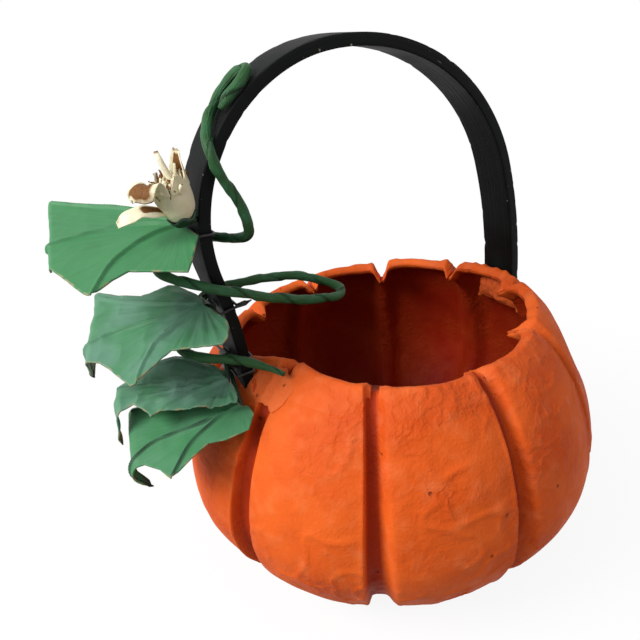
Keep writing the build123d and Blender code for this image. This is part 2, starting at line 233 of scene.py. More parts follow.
def new_piece(name, points, faces, material, body, nodes=(), values=None, places=None):
    """Mesh piece from points in millimetres, which rides on a body and stands for its nodes."""
    mesh = bpy.data.meshes.new(name)
    mesh.from_pydata([Vector(point) * MM for point in points], [], faces)
    for key, numbers in (values or {}).items():
        mesh.attributes.new(key, "FLOAT", "POINT").data.foreach_set("value", numbers)
    if places:
        flat = [number * MM for place in places for number in place]
        mesh.attributes.new("place", "FLOAT_VECTOR", "POINT").data.foreach_set("vector", flat)
    mesh.polygons.foreach_set("use_smooth", [True] * len(mesh.polygons))
    mesh.materials.append(material)
    mesh.validate()
    piece = bpy.data.objects.new(name, mesh)
    bpy.context.scene.collection.objects.link(piece)
    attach(piece, body)
    if nodes:
        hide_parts(*nodes)
    return piece


def dress(node, material):
    """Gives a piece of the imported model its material."""
    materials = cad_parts[node].data.materials
    materials.clear()
    materials.append(material)


def thicken(piece, thickness, offset=0.0):
    """Gives a sheet its thickness and closes its edges."""
    modifier = piece.modifiers.new("thickness", "SOLIDIFY")
    modifier.thickness = thickness
    modifier.offset = offset
    modifier.use_even_offset = False


def round_off(piece):
    """Smooths a piece by splitting each of its faces once."""
    modifier = piece.modifiers.new("rounding", "SUBSURF")
    modifier.levels = 1
    modifier.render_levels = 1


def ring_faces(rows, count, closed=True):
    """Quads between rows of points, each row with the same count, round a loop if closed."""
    faces = []
    last = count if closed else count - 1
    for row in range(rows - 1):
        for column in range(last):
            following = (column + 1) % count
            faces.append((
                row * count + column, row * count + following,
                (row + 1) * count + following, (row + 1) * count + column,
            ))
    return faces


def end_caps(count, total):
    """Faces that close the first and the last ring of points, each with the same count."""
    return [tuple(reversed(range(count))), tuple(range(total - count, total))]


def tube_mesh(line, radius_at, sides, twist=0.0):
    """Points and faces of a tube along a line of points; radius_at takes length, share and angle."""
    points = []
    side = None
    passed = 0.0
    total = sum((b - a).length for a, b in zip(line, line[1:]))
    for number, spot in enumerate(line):
        before = line[max(number - 1, 0)]
        after = line[min(number + 1, len(line) - 1)]
        ahead = (after - before).normalized()
        if side is None:
            side = ahead.orthogonal().normalized()
        side = (side - ahead * side.dot(ahead)).normalized()
        across = ahead.cross(side)
        if number:
            passed += (spot - line[number - 1]).length
        for step in range(sides):
            angle = 2 * math.pi * step / sides
            radius = radius_at(passed, passed / total, angle - twist * passed)
            points.append(spot + (side * math.cos(angle) + across * math.sin(angle)) * radius)
    return points, ring_faces(len(line), sides) + end_caps(sides, len(points))


# Materials

def add_node(tree, kind, inputs=None, **settings):
    """Adds one node, with its settings, and gives its inputs a value or a link from an output."""
    node = tree.nodes.new(kind)
    for name, value in settings.items():
        setattr(node, name, value)
    for key, value in (inputs or {}).items():
        if isinstance(value, bpy.types.NodeSocket):
            tree.links.new(value, node.inputs[key])
        else:
            node.inputs[key].default_value = value
    return node


def start_material(name, roughness, specular):
    """Empty material with one shader of plain roughness and gloss."""
    material = bpy.data.materials.new(name)
    material.use_nodes = True
    tree = material.node_tree
    tree.nodes.clear()
    gloss = {"Roughness": roughness, "Specular IOR Level": specular}
    shader = add_node(tree, "ShaderNodeBsdfPrincipled", gloss)
    add_node(tree, "ShaderNodeOutputMaterial", {"Surface": shader.outputs["BSDF"]})
    return material, tree, shader


def stored(tree, name):
    """Number that the mesh stores at its points under this name."""
    return add_node(tree, "ShaderNodeAttribute", attribute_name=name).outputs["Fac"]


def position(tree):
    return add_node(tree, "ShaderNodeTexCoord").outputs["Object"]


def cloud(tree, spot, width, detail):
    """Soft noise with features this many millimetres across."""
    inputs = {"Vector": spot, "Scale": per_mm(width), "Detail": detail}
    return add_node(tree, "ShaderNodeTexNoise", inputs).outputs["Fac"]


def streaks(tree, length, width, detail):
    """Noise in streaks this many millimetres long and wide, laid by the place stored on the mesh."""
    place = add_node(tree, "ShaderNodeAttribute", attribute_name="place").outputs["Vector"]
    scale = (per_mm(length), per_mm(width), per_mm(width))
    stretched = add_node(tree, "ShaderNodeMapping", {"Vector": place, "Scale": scale}).outputs[0]
    inputs = {"Vector": stretched, "Scale": 1.0, "Detail": detail}
    return add_node(tree, "ShaderNodeTexNoise", inputs).outputs["Fac"]


def rescale(tree, value, low, high, first=0.0, last=1.0):
    """Runs from first to last while the value runs from low to high."""
    inputs = {"Value": value, "From Min": low, "From Max": high, "To Min": first, "To Max": last}
    return add_node(tree, "ShaderNodeMapRange", inputs).outputs[0]


def maths(tree, operation, *values):
    return add_node(tree, "ShaderNodeMath", dict(enumerate(values)), operation=operation).outputs[0]


def blend(tree, share, first, second, blend_type="MIX"):
    """Colour between two, each of them a colour setting or another node's output."""
    colours = [c if isinstance(c, bpy.types.NodeSocket) else (*c, 1) for c in (first, second)]
    inputs = {MIX: share, FIRST: colours[0], SECOND: colours[1]}
    return add_node(tree, "ShaderNodeMix", inputs, data_type="RGBA", blend_type=blend_type).outputs[MIXED]


def first_channel(tree, value):
    return add_node(tree, "ShaderNodeSeparateColor", {"Color": value}).outputs["Red"]


def coat(tree, shader, paint, relief, strength, depth, rough=None):
    """Gives a shader its colour, a relief this many millimetres deep, and its roughness."""
    tree.links.new(paint, shader.inputs["Base Color"])
    inputs = {"Height": relief, "Strength": strength, "Distance": depth * MM}
    bump = add_node(tree, "ShaderNodeBump", inputs)
    tree.links.new(bump.outputs["Normal"], shader.inputs["Normal"])
    if rough:
        tree.links.new(rough, shader.inputs["Roughness"])


def painted_papier_mache(bowl, wear=0.0):
    """Pasted newsprint under brushed poster paint: matt, lapped strip edges, creases, a mottled coat, and
    painted shade in the grooves.

    wear is how much of the paler paint shows, on the lip and on the torn paper at the handle's feet.
    """
    material, tree, shader = start_material("painted papier-mache", 0.62, 0.14)
    spot = position(tree)

    # The coat is thick or thin in patches 38 mm across, rubbed paler in spots 11 mm across
    blotch = cloud(tree, spot, 38, 4)
    mottle = cloud(tree, spot, 11, 6)
    thick = rescale(tree, blotch, 0.36, 0.64)
    rubbed = rescale(tree, mottle, 0.5, 0.74, 0.3 * wear, 0.24 + 0.3 * wear)
    paint = blend(tree, thick, bowl.paint, bowl.paint_deep)
    paint = blend(tree, rubbed, paint, bowl.paint_dry)
    # Painted shade in the grooves, darkest where they are deepest
    paint = blend(tree, maths(tree, "POWER", stored(tree, "groove"), 1.5), paint, bowl.groove_paint)

    # Dents about 2 mm across in one cell of five, and pinholes of bare paper in others, 12 mm apart
    cells = add_node(tree, "ShaderNodeTexVoronoi", {"Vector": spot, "Scale": per_mm(12), "Randomness": 1.0})
    chosen = first_channel(tree, cells.outputs["Color"])
    away = cells.outputs["Distance"]
    dent = rescale(tree, away, 0.05, 0.1, 1, 0)
    hole = rescale(tree, away, 0.025, 0.04, 0.8, 0)
    fleck = maths(tree, "MULTIPLY", dent, maths(tree, "GREATER_THAN", chosen, 0.78))
    bare = maths(tree, "MULTIPLY", hole, maths(tree, "LESS_THAN", chosen, 0.12))
    paint = blend(tree, maths(tree, "MULTIPLY", fleck, 0.6), paint, bowl.fleck)
    paint = blend(tree, bare, paint, bowl.speck)
    lining = blend(tree, thick, bowl.inside_paint, bowl.inside_warm)
    paint = blend(tree, stored(tree, "inside"), paint, lining)

    # Relief: torn strips about 30 mm across lap over each other, with creases 13 mm apart and a fine tooth
    drift = add_node(tree, "ShaderNodeTexNoise", {"Vector": spot, "Scale": per_mm(18), "Detail": 4.0})
    moved = blend(tree, 0.014, spot, drift.outputs["Color"], "ADD")
    inputs = {"Vector": moved, "Scale": per_mm(30)}
    strips = add_node(tree, "ShaderNodeTexVoronoi", inputs, distance="CHEBYCHEV")
    fold = maths(tree, "ABSOLUTE", maths(tree, "SUBTRACT", cloud(tree, moved, 13, 3), 0.5))
    crease = maths(tree, "MULTIPLY", rescale(tree, fold, 0, 0.11, 1, 0), rescale(tree, blotch, 0.44, 0.6))
    relief = maths(tree, "MULTIPLY", first_channel(tree, strips.outputs["Color"]), 0.55)
    for height, weight in ((crease, 0.3), (cloud(tree, spot, 1.4, 4), 0.2), (mottle, 0.5), (fleck, -0.8)):
        relief = maths(tree, "MULTIPLY_ADD", height, weight, relief)
    coat(tree, shader, paint, relief, 0.9, 1.6, rescale(tree, mottle, 0.3, 0.7, 0.54, 0.72))
    return material


def black_painted_lath(handle):
    """Bent ash lath under matt black brush paint: faint long grain, greyer faces, chipped corners."""
    material, tree, shader = start_material("black painted lath", 0.6, 0.08)
    spot = position(tree)
    worn = cloud(tree, spot, 38, 4)
    paint = blend(tree, rescale(tree, worn, 0.45, 0.7, 0, 0.8), handle.paint, handle.paint_grey)
    # Chips 1 to 4 mm long sit on the corners only
    chips = rescale(tree, cloud(tree, spot, 4, 3), 0.7, 0.72)
    corners = rescale(tree, stored(tree, "edge"), 0.55, 0.9)
    paint = blend(tree, maths(tree, "MULTIPLY", chips, corners), paint, handle.chip)
    # Grain lines 1.2 mm apart run along the lath
    grain = streaks(tree, 90, 1.2, 4)
    coat(tree, shader, paint, grain, 0.5, 0.6, rescale(tree, worn, 0.3, 0.7, 0.5, 0.68))
    return material


def crepe_tape(vine):
    """Waxed green crepe tape wound on wire: fine wrinkles, painted shade along its lapped edge, pale where
    rubbed.
    """
    material, tree, shader = start_material("green crepe tape", 0.5, 0.2)
    rubbed = rescale(tree, cloud(tree, position(tree), 11, 4), 0.48, 0.75, 0, 0.75)
    paint = blend(tree, rubbed, vine.tape, vine.tape_pale)
    # Painted shade along the lapped edge, with darker tape in random patches
    paint = blend(tree, stored(tree, "lap"), paint, vine.tape_dark)
    # Crepe wrinkles 0.9 mm apart show as streaks along the vine
    coat(tree, shader, paint, streaks(tree, 9, 0.9, 4), 0.8, 1.0)
    return material


def painted_leaf_paper(leaf, name, chalk):
    """Stiff paper brushed green, a satin coat: strokes along the ribs, a dark line along each rib, bare
    edges.

    chalk is how much of the greyer worn green shows.
    """
    material, tree, shader = start_material(name, 0.5, 0.2)
    spot = position(tree)
    # Brush strokes 1.6 mm apart and 30 mm long run out from the stem
    strokes = streaks(tree, 30, 1.6, 3)
    worn = cloud(tree, spot, 19, 4)
    paint = blend(tree, rescale(tree, strokes, 0.4, 0.7, 0, 0.5), leaf.green, leaf.green_deep)
    paint = blend(tree, rescale(tree, worn, 0.35, 0.62, 0.3 * chalk, chalk), paint, leaf.green_grey)
    # A dark line along each rib
    paint = blend(tree, stored(tree, "rib"), paint, leaf.rib_dark)
    nicks = rescale(tree, cloud(tree, spot, 5, 2), 0.45, 0.6)
    paint = blend(tree, maths(tree, "MULTIPLY", nicks, stored(tree, "rim")), paint, leaf.cut_edge)
    paint = blend(tree, stored(tree, "tip"), paint, leaf.tip)
    relief = maths(tree, "MULTIPLY_ADD", cloud(tree, spot, 6, 5), 0.5 + chalk, strokes)
    coat(tree, shader, paint, relief, 0.3, 0.6, rescale(tree, worn, 0.3, 0.7, 0.46, 0.6))
    return material


def torn_cream_paper(blossom, name, scorched):
    """Cream paper torn by hand: matt, with soft fibres, and scorched brown towards its edges.

    scorched is how brown the whole face is.
    """
    material, tree, shader = start_material(name, 0.66, 0.2)
    spot = position(tree)
    patches = cloud(tree, spot, 9, 4)
    fibre = cloud(tree, spot, 1.1, 4)
    paint = blend(tree, rescale(tree, patches, 0.4, 0.68, 0, 0.8), blossom.cream, blossom.cream_dull)
    scorch = maths(tree, "MULTIPLY_ADD", maths(tree, "SUBTRACT", patches, 0.5), 1.1, stored(tree, "brown"))
    scorch = rescale(tree, maths(tree, "ADD", scorch, scorched), 0.35, 0.62)
    paint = blend(tree, scorch, paint, blend(tree, fibre, blossom.brown, blossom.umber))
    coat(tree, shader, paint, fibre, 0.35, 0.5)
    return material


def drawn_wire(name, low, high, specular):
    """Soft drawn wire under a thin coat: a satin line, rubbed brighter in short stretches."""
    material, tree, shader = start_material(name, 0.42, specular)
    worn = cloud(tree, position(tree), 4, 3)
    coat(tree, shader, blend(tree, rescale(tree, worn, 0.45, 0.7), low, high), worn, 0.2, 0.3)
    return material


# Bowl

# Across a groove, in millimetres from its middle: how much of the groove's depth is reached. The side
# of the lobe before it ends in a crisp paper edge, and the lobe after it rises in a round slope.
GROOVE = (
    (-12, 0), (-10.2, -0.03), (-8.8, -0.09), (-8.2, -0.05), (-7.9, 0.12), (-7.4, 0.5), (-6.8, 0.85),
    (-6, 0.97), (-4.2, 1), (-2, 1), (0.4, 0.99), (2.2, 0.95), (3.6, 0.82), (4.8, 0.6), (6, 0.36),
    (7.2, 0.17), (8.4, 0.06), (9.8, 0.01), (11.5, 0),
)
# In the same way, the softer ridge that a groove makes inside, and the notch at its end in the rim
RIDGE = ((-14, 0), (-11, 0.12), (-7, 0.6), (-4, 0.93), (0, 1), (4, 0.96), (8, 0.6), (12, 0.14), (16, 0))
NOTCH = ((-10, 0), (-6.6, 0.1), (-4.4, 0.72), (-2, 1), (1.5, 1), (4.5, 0.7), (8, 0.12), (11, 0))
# Fall of the rim at each groove, and how far the lip's inner fold stands in there, from 342 degrees on
NOTCH_DROPS = (4, 6, 8, 5, 6, 5, 3, 2, 3, 4)
LIP_FOLDS = (2, 1.5, 0, 0, 0, 0, 0, 0, 3.5, 4.5)
# Half the gap between the lips there
LIP_GAPS = (1.0, 1.2, 1.2, 1.2, 1.2, 1.0, 0.4, 2.4, 2.2, 1.6)
# Rise of the rim over its tilted plane, by angle in degrees. The paper stands up beside the strap's
# left foot.
RIM_WAVE = (
    (0, 0.5), (18, 0), (26, -2.5), (45, -3), (54, -3.5), (64, -4.5), (78, -3), (100, -2), (130, 0),
    (172, 0), (181, 6), (189, 7.5), (200, 7.5), (208, 7), (215, 6.5), (222, 6), (230, 5), (240, 4),
    (250, 2.5), (262, 0), (312, 0), (326, 2.5), (345, 2.5), (360, 0.5),
)
# Lean of that standing paper towards the middle of the bowl
RIM_LEAN = ((170, 0), (183, 7), (192, 12), (205, 13), (215, 10), (225, 5), (240, 0))
# Where the hand-built bowl stands out of round: angle, height, reach in degrees and in millimetres,
# and swell. The last is a hollow behind the lowest leaf's stem.
SWELLS = (
    (320, 58, 20, 30, 1.5), (334, 120, 20, 22, -4.6), (150, 46, 28, 24, -4.2), (191, 132, 9, 13, -2.4),
)
# Steps of the mesh: between two grooves, up the outside, down the inside, over a flat and along a lip
LOBE_STEPS = 40
OUTER_ROWS = 120
INNER_ROWS = 48
FLAT_ROWS = 5
LIP_STEPS = 60


def superellipse(share, power):
    """Point of a quarter of a superellipse: how far along each of its two axes."""
    angle = share * math.pi / 2
    return math.sin(angle) ** (2 / power), math.cos(angle) ** (2 / power)


def around(radius, angle, height):
    return Vector((radius * math.cos(angle), radius * math.sin(angle), height))


class BowlForm:
    """Profile and lobes of the bowl, in millimetres."""

    lower_power = 1.8
    upper_power = 1.75
    # How far under its edge the rim's notches and wave begin
    rim_reach = 26
    profile_steps = 400

    def __init__(self, bowl):
        self.lobes = bowl.lobes
        self.pitch = 2 * math.pi / bowl.lobes
        self.radius = bowl.radius / MM
        self.widest = bowl.widest_height / MM
        self.base = bowl.base_radius / MM
        self.crown = bowl.crown_radius / MM
        self.top = bowl.crown_height / MM
        self.rim = bowl.rim_height / MM
        self.tilt = bowl.rim_tilt / MM
        self.high_side = bowl.rim_high_side
        self.wall = bowl.wall / MM
        self.floor = bowl.floor / MM
        self.depth = bowl.groove_depth / MM
        self.drop = bowl.lobe_drop / MM

    def outer(self, height):
        if height < self.widest:
            fall = (self.widest - height) / self.widest
            swell = max(1 - fall**self.lower_power, 0) ** (1 / self.lower_power)
            return self.base + (self.radius - self.base) * swell
        rise = (height - self.widest) / (self.top - self.widest)
        swell = max(1 - rise**self.upper_power, 0) ** (1 / self.upper_power)
        return self.crown + (self.radius - self.crown) * swell

    def slope(self, height):
        """Change of the radius with height; the wall leans in where it is below 0."""
        step = 0.05
        return (self.outer(height + step) - self.outer(height - step)) / (2 * step)

    def inner(self, height):
        return self.outer(height) - self.wall * math.hypot(1, self.slope(height))

    def profile(self, rows):
        """Heights of the outer wall's rows, evenly spaced along the wall."""
        fine = []
        for number in range(self.profile_steps + 1):
            out, left = superellipse(number / self.profile_steps, self.lower_power)
            fine.append((self.base + (self.radius - self.base) * out, self.widest * (1 - left)))
        for number in range(1, self.profile_steps + 1):
            up, out = superellipse(number / self.profile_steps, self.upper_power)
            height = self.widest + (self.top - self.widest) * up
            if height < self.rim:
                fine.append((self.crown + (self.radius - self.crown) * out, height))
        fine.append((self.outer(self.rim), self.rim))
        lengths = [0.0]
        for (r0, z0), (r1, z1) in zip(fine, fine[1:]):
            lengths.append(lengths[-1] + math.hypot(r1 - r0, z1 - z0))
        heights = list(zip(lengths, [z for _, z in fine]))
        return [table(lengths[-1] * row / (rows - 1), heights) for row in range(rows)]

    def across(self, angle, radius):
        """The nearest groove to an angle, and the place across it in millimetres."""
        groove = round(angle / self.pitch + 0.5)
        return groove % self.lobes, (angle - (groove - 0.5) * self.pitch) * radius

    def columns(self, radius, narrow=1.0):
        """Angles round one row: close together in the grooves and even between them."""
        first, last = GROOVE[0][0] * narrow / radius, GROOVE[-1][0] * narrow / radius
        angles = []
        for lobe in range(self.lobes):
            groove = (lobe - 0.5) * self.pitch
            angles += [groove + place * narrow / radius for place, _ in GROOVE]
            for step in range(1, LOBE_STEPS):
                angles.append(mix(groove + last, groove + self.pitch + first, step / LOBE_STEPS))
        return angles

    def narrow(self, height):
        """Width of the grooves at a height, as a share of their full width."""
        return 1 - 0.3 * ramp(55, 135, height)

    def fall(self, angle):
        """Fall of a lobe's surface from its crest, at an angle."""
        across = (angle / self.pitch + 0.5) % 1
        return self.drop * (2 * across - 1) ** 2

    def hand_made(self, point):
        """Lumps and crumpled ridges of hand-pasted paper, outwards."""
        coarse = lumps(point, 62, 1) * 1.3 + lumps(point, 24, 2) * 0.55 + lumps(point, 9, 3) * 0.24
        ridge = max(1 - abs(lumps(point, 17, 7)) / 0.13, 0)
        return coarse + 0.85 * ridge * ramp(-0.1, 0.3, lumps(point, 38, 8))

    def lift(self, radius, angle, height):
        """Rise of the tilted rim, which fades towards the floor."""
        share = max(height - self.floor, 0) / (self.rim - self.floor)
        return self.tilt * share**2 * math.cos(angle - self.high_side) * radius / self.outer(self.rim)

    def point(self, angle, height, off=0.0, inside=False):
        """Point on the outer or inner wall, off the paper's face towards the outside."""
        radius = self.inner(height) if inside else self.outer(height)
        groove, across = self.across(angle, radius)
        across /= self.narrow(height)
        near_rim = ramp(self.rim - self.rim_reach, self.rim, height)
        deep = table(across, RIDGE if inside else GROOVE) * (1 - 0.4 * near_rim)
        reach = radius - self.fall(angle) - self.depth * deep
        spot = around(reach, angle, height)
        swell = self.hand_made(spot) * ramp(0, 12, height) + off
        for middle, centre, wide, tall, bulge in SWELLS:
            turned = (math.degrees(angle) - middle + 180) % 360 - 180
            swell += bulge * math.exp(-((turned / wide) ** 2) - ((height - centre) / tall) ** 2)
        slope = min(self.slope(height), 0)
        lean = math.hypot(1, slope)
        level = height - swell * slope / lean - NOTCH_DROPS[groove] * table(across, NOTCH) * near_rim
        level += table(math.degrees(angle) % 360, RIM_WAVE) * near_rim
        reach += swell / lean - table(math.degrees(angle) % 360, RIM_LEAN) * near_rim**2
        return around(reach, angle, level + self.lift(reach, angle, height))


def make_bowl_shell(form, material):
    points, groove_shade_values, inside_values = [], [], []
    base = form.outer(0)
    floor_radius = form.inner(form.floor)
    rows = [("under", base * row / FLAT_ROWS, 0.0) for row in range(1, FLAT_ROWS)]
    rows += [("out", form.outer(height), height) for height in form.profile(OUTER_ROWS)]
    for row in range(INNER_ROWS):
        height = mix(form.rim, form.floor, math.sin(row / (INNER_ROWS - 1) * math.pi / 2) ** 1.25)
        rows.append(("in", form.inner(height), height))
    for row in range(1, FLAT_ROWS):
        rows.append(("floor", floor_radius * (1 - row / FLAT_ROWS), form.floor))

    for kind, radius, height in rows:
        steady = {"under": base, "floor": floor_radius}.get(kind, radius)
        inside = kind in ("in", "floor")
        for angle in form.columns(steady, form.narrow(height)):
            if kind in ("out", "in"):
                points.append(form.point(angle, height, inside=inside))
            else:
                points.append(form.point(angle, height, inside=inside) * (radius / steady))
                points[-1].z = height
            across = form.across(angle, steady)[1] / form.narrow(height)
            # Painted shade: the groove's floor and its crisp side get the full share, fading out up the lit
            # slope past its middle
            shaded = 1 - ramp(0, 4.5, across)
            groove_shade_values.append(0.0 if inside else max(table(across, GROOVE), 0) * shaded)
            inside_values.append(1.0 if inside else 0.0)
    count = len(form.columns(base))
    faces = ring_faces(len(rows), count)
    for level, start, inside in ((0, 0, 0.0), (form.floor, len(points) - count, 1.0)):
        middle = len(points)
        points.append((0, 0, level))
        groove_shade_values.append(0)
        inside_values.append(inside)
        for column in range(count):
            pair = (start + column, start + (column + 1) % count)
            faces.append((middle, *pair) if inside else (middle, *reversed(pair)))
    new_piece(
        "painted_bowl", points, faces, material, BASKET, ["bowl_shell"],
        {"groove": groove_shade_values, "inside": inside_values},
    )


# The lip's section, as (below the rim, off the wall): up the outside, then down the inside
LIP_OUTSIDE = ((9, -0.4), (6.5, 0.15), (3, 0.5), (0, 0.75))
LIP_INSIDE = ((0.3, 1.5), (3.5, 1.2), (6.2, 0.4), (7.5, -1.0))
# Steps of its outside over the wall's edge, and the rise of its fold over the inside
LIP_RISES = (2.4, 4.2)
LIP_HEIGHT = 3.0
# At the strap's left foot the lip lies on the strap's inner face, this far out and half this wide
LIP_ON_STRAP = 92.7
LIP_ON_STRAP_HALF = 13.6


def lip_section(form, angle, torn, seed):
    """Closed section of the lip at an angle: up the outer wall, over the edge and down inside."""
    groove, across = form.across(angle, form.outer(form.rim))
    slim = mix(0.45, 1.0, ramp(0, 9, abs(across)))
    short = mix(0.25, 1.0, ramp(5, 12, abs(across)))
    outside = [form.point(angle, form.rim - down * short, off) for down, off in LIP_OUTSIDE]
    inside = [form.point(angle, form.rim - down, -off, inside=True) for down, off in LIP_INSIDE]
    ahead = (outside[-1] - outside[-2]).normalized()
    outside += [outside[-1] + ahead * rise * slim for rise in LIP_RISES]
    fold = LIP_FOLDS[groove] * math.exp(-((across / 3.5) ** 2))
    inward = around(-1, angle, 0)
    top = inside[0] + inward * (fold - 0.7) + Vector((0, 0, LIP_HEIGHT * slim))
    crest = outside[-1].lerp(top, 0.5) + Vector((0, 0, 0.9 * slim))
    inside[0] += inward * fold
    section = [*outside, crest, top, *inside]
    for number, spot in enumerate(section[3:-2], start=3):
        wave = lumps(spot, 9, seed) * (0.25 + 1.1 * torn)
        section[number] = spot + inward * wave + Vector((0, 0, wave * 0.8))
    return section


def make_lips(form, material):
    middle = form.outer(form.rim)
    for lobe in range(form.lobes):
        torn = 1.0 if lobe in (0, form.lobes - 1) else 0.25
        first = (lobe - 0.5) * form.pitch + LIP_GAPS[lobe] / middle
        last = (lobe + 0.5) * form.pitch - LIP_GAPS[(lobe + 1) % form.lobes] / middle
        points, inside = [], []
        for step in range(LIP_STEPS + 1):
            angle = mix(first, last, 0.5 - 0.5 * math.cos(math.pi * step / LIP_STEPS))
            section = lip_section(form, angle, torn, 6 + lobe)
            for number, spot in enumerate(section):
                if spot.x < -LIP_ON_STRAP and abs(spot.y) < LIP_ON_STRAP_HALF:
                    spot.x = -LIP_ON_STRAP
                points.append(spot)
                inside.append(ramp(len(section) - 4, len(section) - 1, number))
        count = len(section)
        faces = [tuple(reversed(face)) for face in ring_faces(LIP_STEPS + 1, count)]
        faces += end_caps(count, len(points))
        name = f"rim_strip_{lobe + 1:02d}"
        piece = new_piece(
            f"folded_{name}", points, faces, material, BASKET, [name], {"inside": inside},
        )
        round_off(piece)


class BASKET_OT_bowl(bpy.types.Operator):
    """Makes the painted bowl and the folded paper lip on its rim"""
    bl_idname = "basket.bowl"
    bl_label = "Bowl and lip"

    def execute(self, context):
        bowl = context.scene.basket.bowl
        form = BowlForm(bowl)
        material = painted_papier_mache(bowl)
        make_bowl_shell(form, material)
        make_lips(form, painted_papier_mache(bowl, wear=0.15))
        return {"FINISHED"}


# Handle

# The strap's middle line: X and Z of its left foot, the heading there in degrees, and the radius and
# turn in degrees of each bend
STRAP_FOOT = (-96.5, 118.0)
STRAP_HEADING = 86.2
STRAP_BENDS = ((287.0, 17.5), (84.0, -97.5), (115.0, -80.0), (305.0, -20.0))
STRAP_STEPS = 240
# Length of the right foot that is left out, inside its pad
STRAP_HIDDEN = 12.0


def strap_length():
    return sum(radius * math.radians(abs(bend)) for radius, bend in STRAP_BENDS)


def strap_frame(along):
    """Point on the strap's middle line in X and Z, and its heading, at a length from the left foot."""
    x, z = STRAP_FOOT
    heading = math.radians(STRAP_HEADING)
    for radius, bend in STRAP_BENDS:
        sweep = math.radians(bend)
        run = min(along, radius * abs(sweep))
        side = 1 if sweep > 0 else -1
        swept = side * run / radius
        x += side * radius * (math.sin(heading + swept) - math.sin(heading))
        z -= side * radius * (math.cos(heading + swept) - math.cos(heading))
        heading += swept
        along -= run
        if along <= 0:
            break
    return x, z, heading


def on_strap(along, across, out):
    """Point at a length along the strap, across it to the back, and out from its middle line."""
    x, z, heading = strap_frame(along)
    return Vector((x - math.sin(heading) * out, across, z + math.cos(heading) * out))


def lath_section(width, thickness, edge):
    """Rounded section of the lath as (across, out, how near a corner), closely spaced at its corners."""
    half, deep = width / 2, thickness / 2
    side = []
    for share in (0.0, 0.45, 0.72, 0.86):
        side.append((half * share, deep, 0.0))
    for step in range(5):
        angle = math.radians(90 - 22.5 * step)
        side.append((half - edge + edge * math.cos(angle), deep - edge + edge * math.sin(angle), 1.0))
    side.append((half, 0.0, 0.35))
    lower = [(across, -out, corner) for across, out, corner in reversed(side[:-1])]
    right = side + lower
    left = [(-across, out, corner) for across, out, corner in reversed(right[1:-1])]
    return right + left


def make_strap(handle, material):
    section = lath_section(handle.width / MM, handle.thickness / MM, handle.edge / MM)
    points, corners, places = [], [], []
    length = strap_length() - STRAP_HIDDEN
    for step in range(STRAP_STEPS + 1):
        along = length * step / STRAP_STEPS
        for across, out, corner in section:
            spot = on_strap(along, across, out)
            chip = max(lumps(spot, 5, 11) - 0.3, 0) * 1.1 * (corner == 1.0)
            sway = lumps((along, 0, 0), 60, 12) * 0.35
            across_now = across * (1 - chip / 13) + sway
            points.append(on_strap(along, across_now, out * (1 - chip / 4) + lumps(spot, 30, 13) * 0.15))
            corners.append(corner)
            places.append((along, across, out))
    count = len(section)
    faces = ring_faces(STRAP_STEPS + 1, count) + end_caps(count, len(points))
    new_piece(
        "lath_handle", points, faces, material, BASKET, ["handle_strap"],
        {"edge": corners}, places,
    )


# Step between rows of even triangles, as a share of their side
TRIANGLE_ROW = 0.866


def flat_mesh(outline, spacing):
    """Fine triangles inside a closed flat outline: points, faces, and distance to the outline."""
    ring = outline + outline[:1]
    border = []
    for start, end in zip(ring, ring[1:]):
        steps = max(int((end - start).length / spacing), 1)
        border += [start.lerp(end, step / steps) for step in range(steps)]
    loop = [(number, (number + 1) % len(border)) for number in range(len(border))]
    low = Vector((min(p.x for p in border), min(p.y for p in border)))
    high = Vector((max(p.x for p in border), max(p.y for p in border)))
    inner = []
    rows = int((high.y - low.y) / (spacing * TRIANGLE_ROW)) + 1
    for row in range(rows):
        shift = 0.5 * (row % 2)
        for column in range(int((high.x - low.x) / spacing) + 1):
            spot = low + Vector(((column + shift) * spacing, row * spacing * TRIANGLE_ROW))
            if near_line(spot, ring)[0] > spacing * 0.55:
                inner.append(spot)
    points, _, faces, _, _, _ = delaunay_2d_cdt(border + inner, loop, [], 1, 1e-5)
    gaps = [near_line(spot, ring)[0] for spot in points]
    return points, faces, gaps


# Torn scraps pasted over the strap's left foot: angle and height on the bowl, in degrees and millimetres
SCRAPS = {
    "torn_scrap_front": ((187, 141), (190, 138), (194, 136.5), (198, 135.5), (202, 136), (204.5, 138),
                         (205.5, 142), (205, 146), (199, 146), (188, 146)),
    "torn_scrap_back": ((178, 141), (179.5, 132), (176, 126), (171, 129), (168, 137), (172, 142)),
}
# Millimetres to a degree there, the scraps' thickness and the spacing of their mesh
SCRAP_SCALE = 1.75
SCRAP_PAPER = 0.5
SCRAP_GRID = 1.6


def make_scraps(form, material):
    for number, (name, corners) in enumerate(SCRAPS.items()):
        outline = []
        loop = [Vector((angle * SCRAP_SCALE, height)) for angle, height in corners]
        for start, end in zip(loop, loop[1:] + loop[:1]):
            steps = max(int((end - start).length / 2), 1)
            for step in range(steps):
                spot = start.lerp(end, step / steps)
                ragged = lumps((spot.x, spot.y, 0), 5, 20 + number) * 1.1
                outline.append(spot + Vector((ragged, lumps((spot.x, spot.y, 9), 4, 21) * 0.9)))
        flat, faces, gaps = flat_mesh(outline, SCRAP_GRID)
        points = []
        for spot, gap in zip(flat, gaps):
            lift = 0.2 + 0.3 * ramp(0, 3, gap) + lumps((spot.x, spot.y, 0), 9, 22) * 0.4
            lift += (1 - ramp(0, 2.5, gap)) * max(lumps((spot.x, spot.y, 3), 11, 23), 0)
            angle = math.radians(spot.x / SCRAP_SCALE)
            across = form.across(angle, form.outer(spot.y))[1] / form.narrow(spot.y)
            lift += 0.7 * form.depth * max(table(across, GROOVE), 0)
            points.append(form.point(angle, spot.y, lift))
        piece = new_piece(name, points, faces, material, BASKET)
        thicken(piece, SCRAP_PAPER * MM)


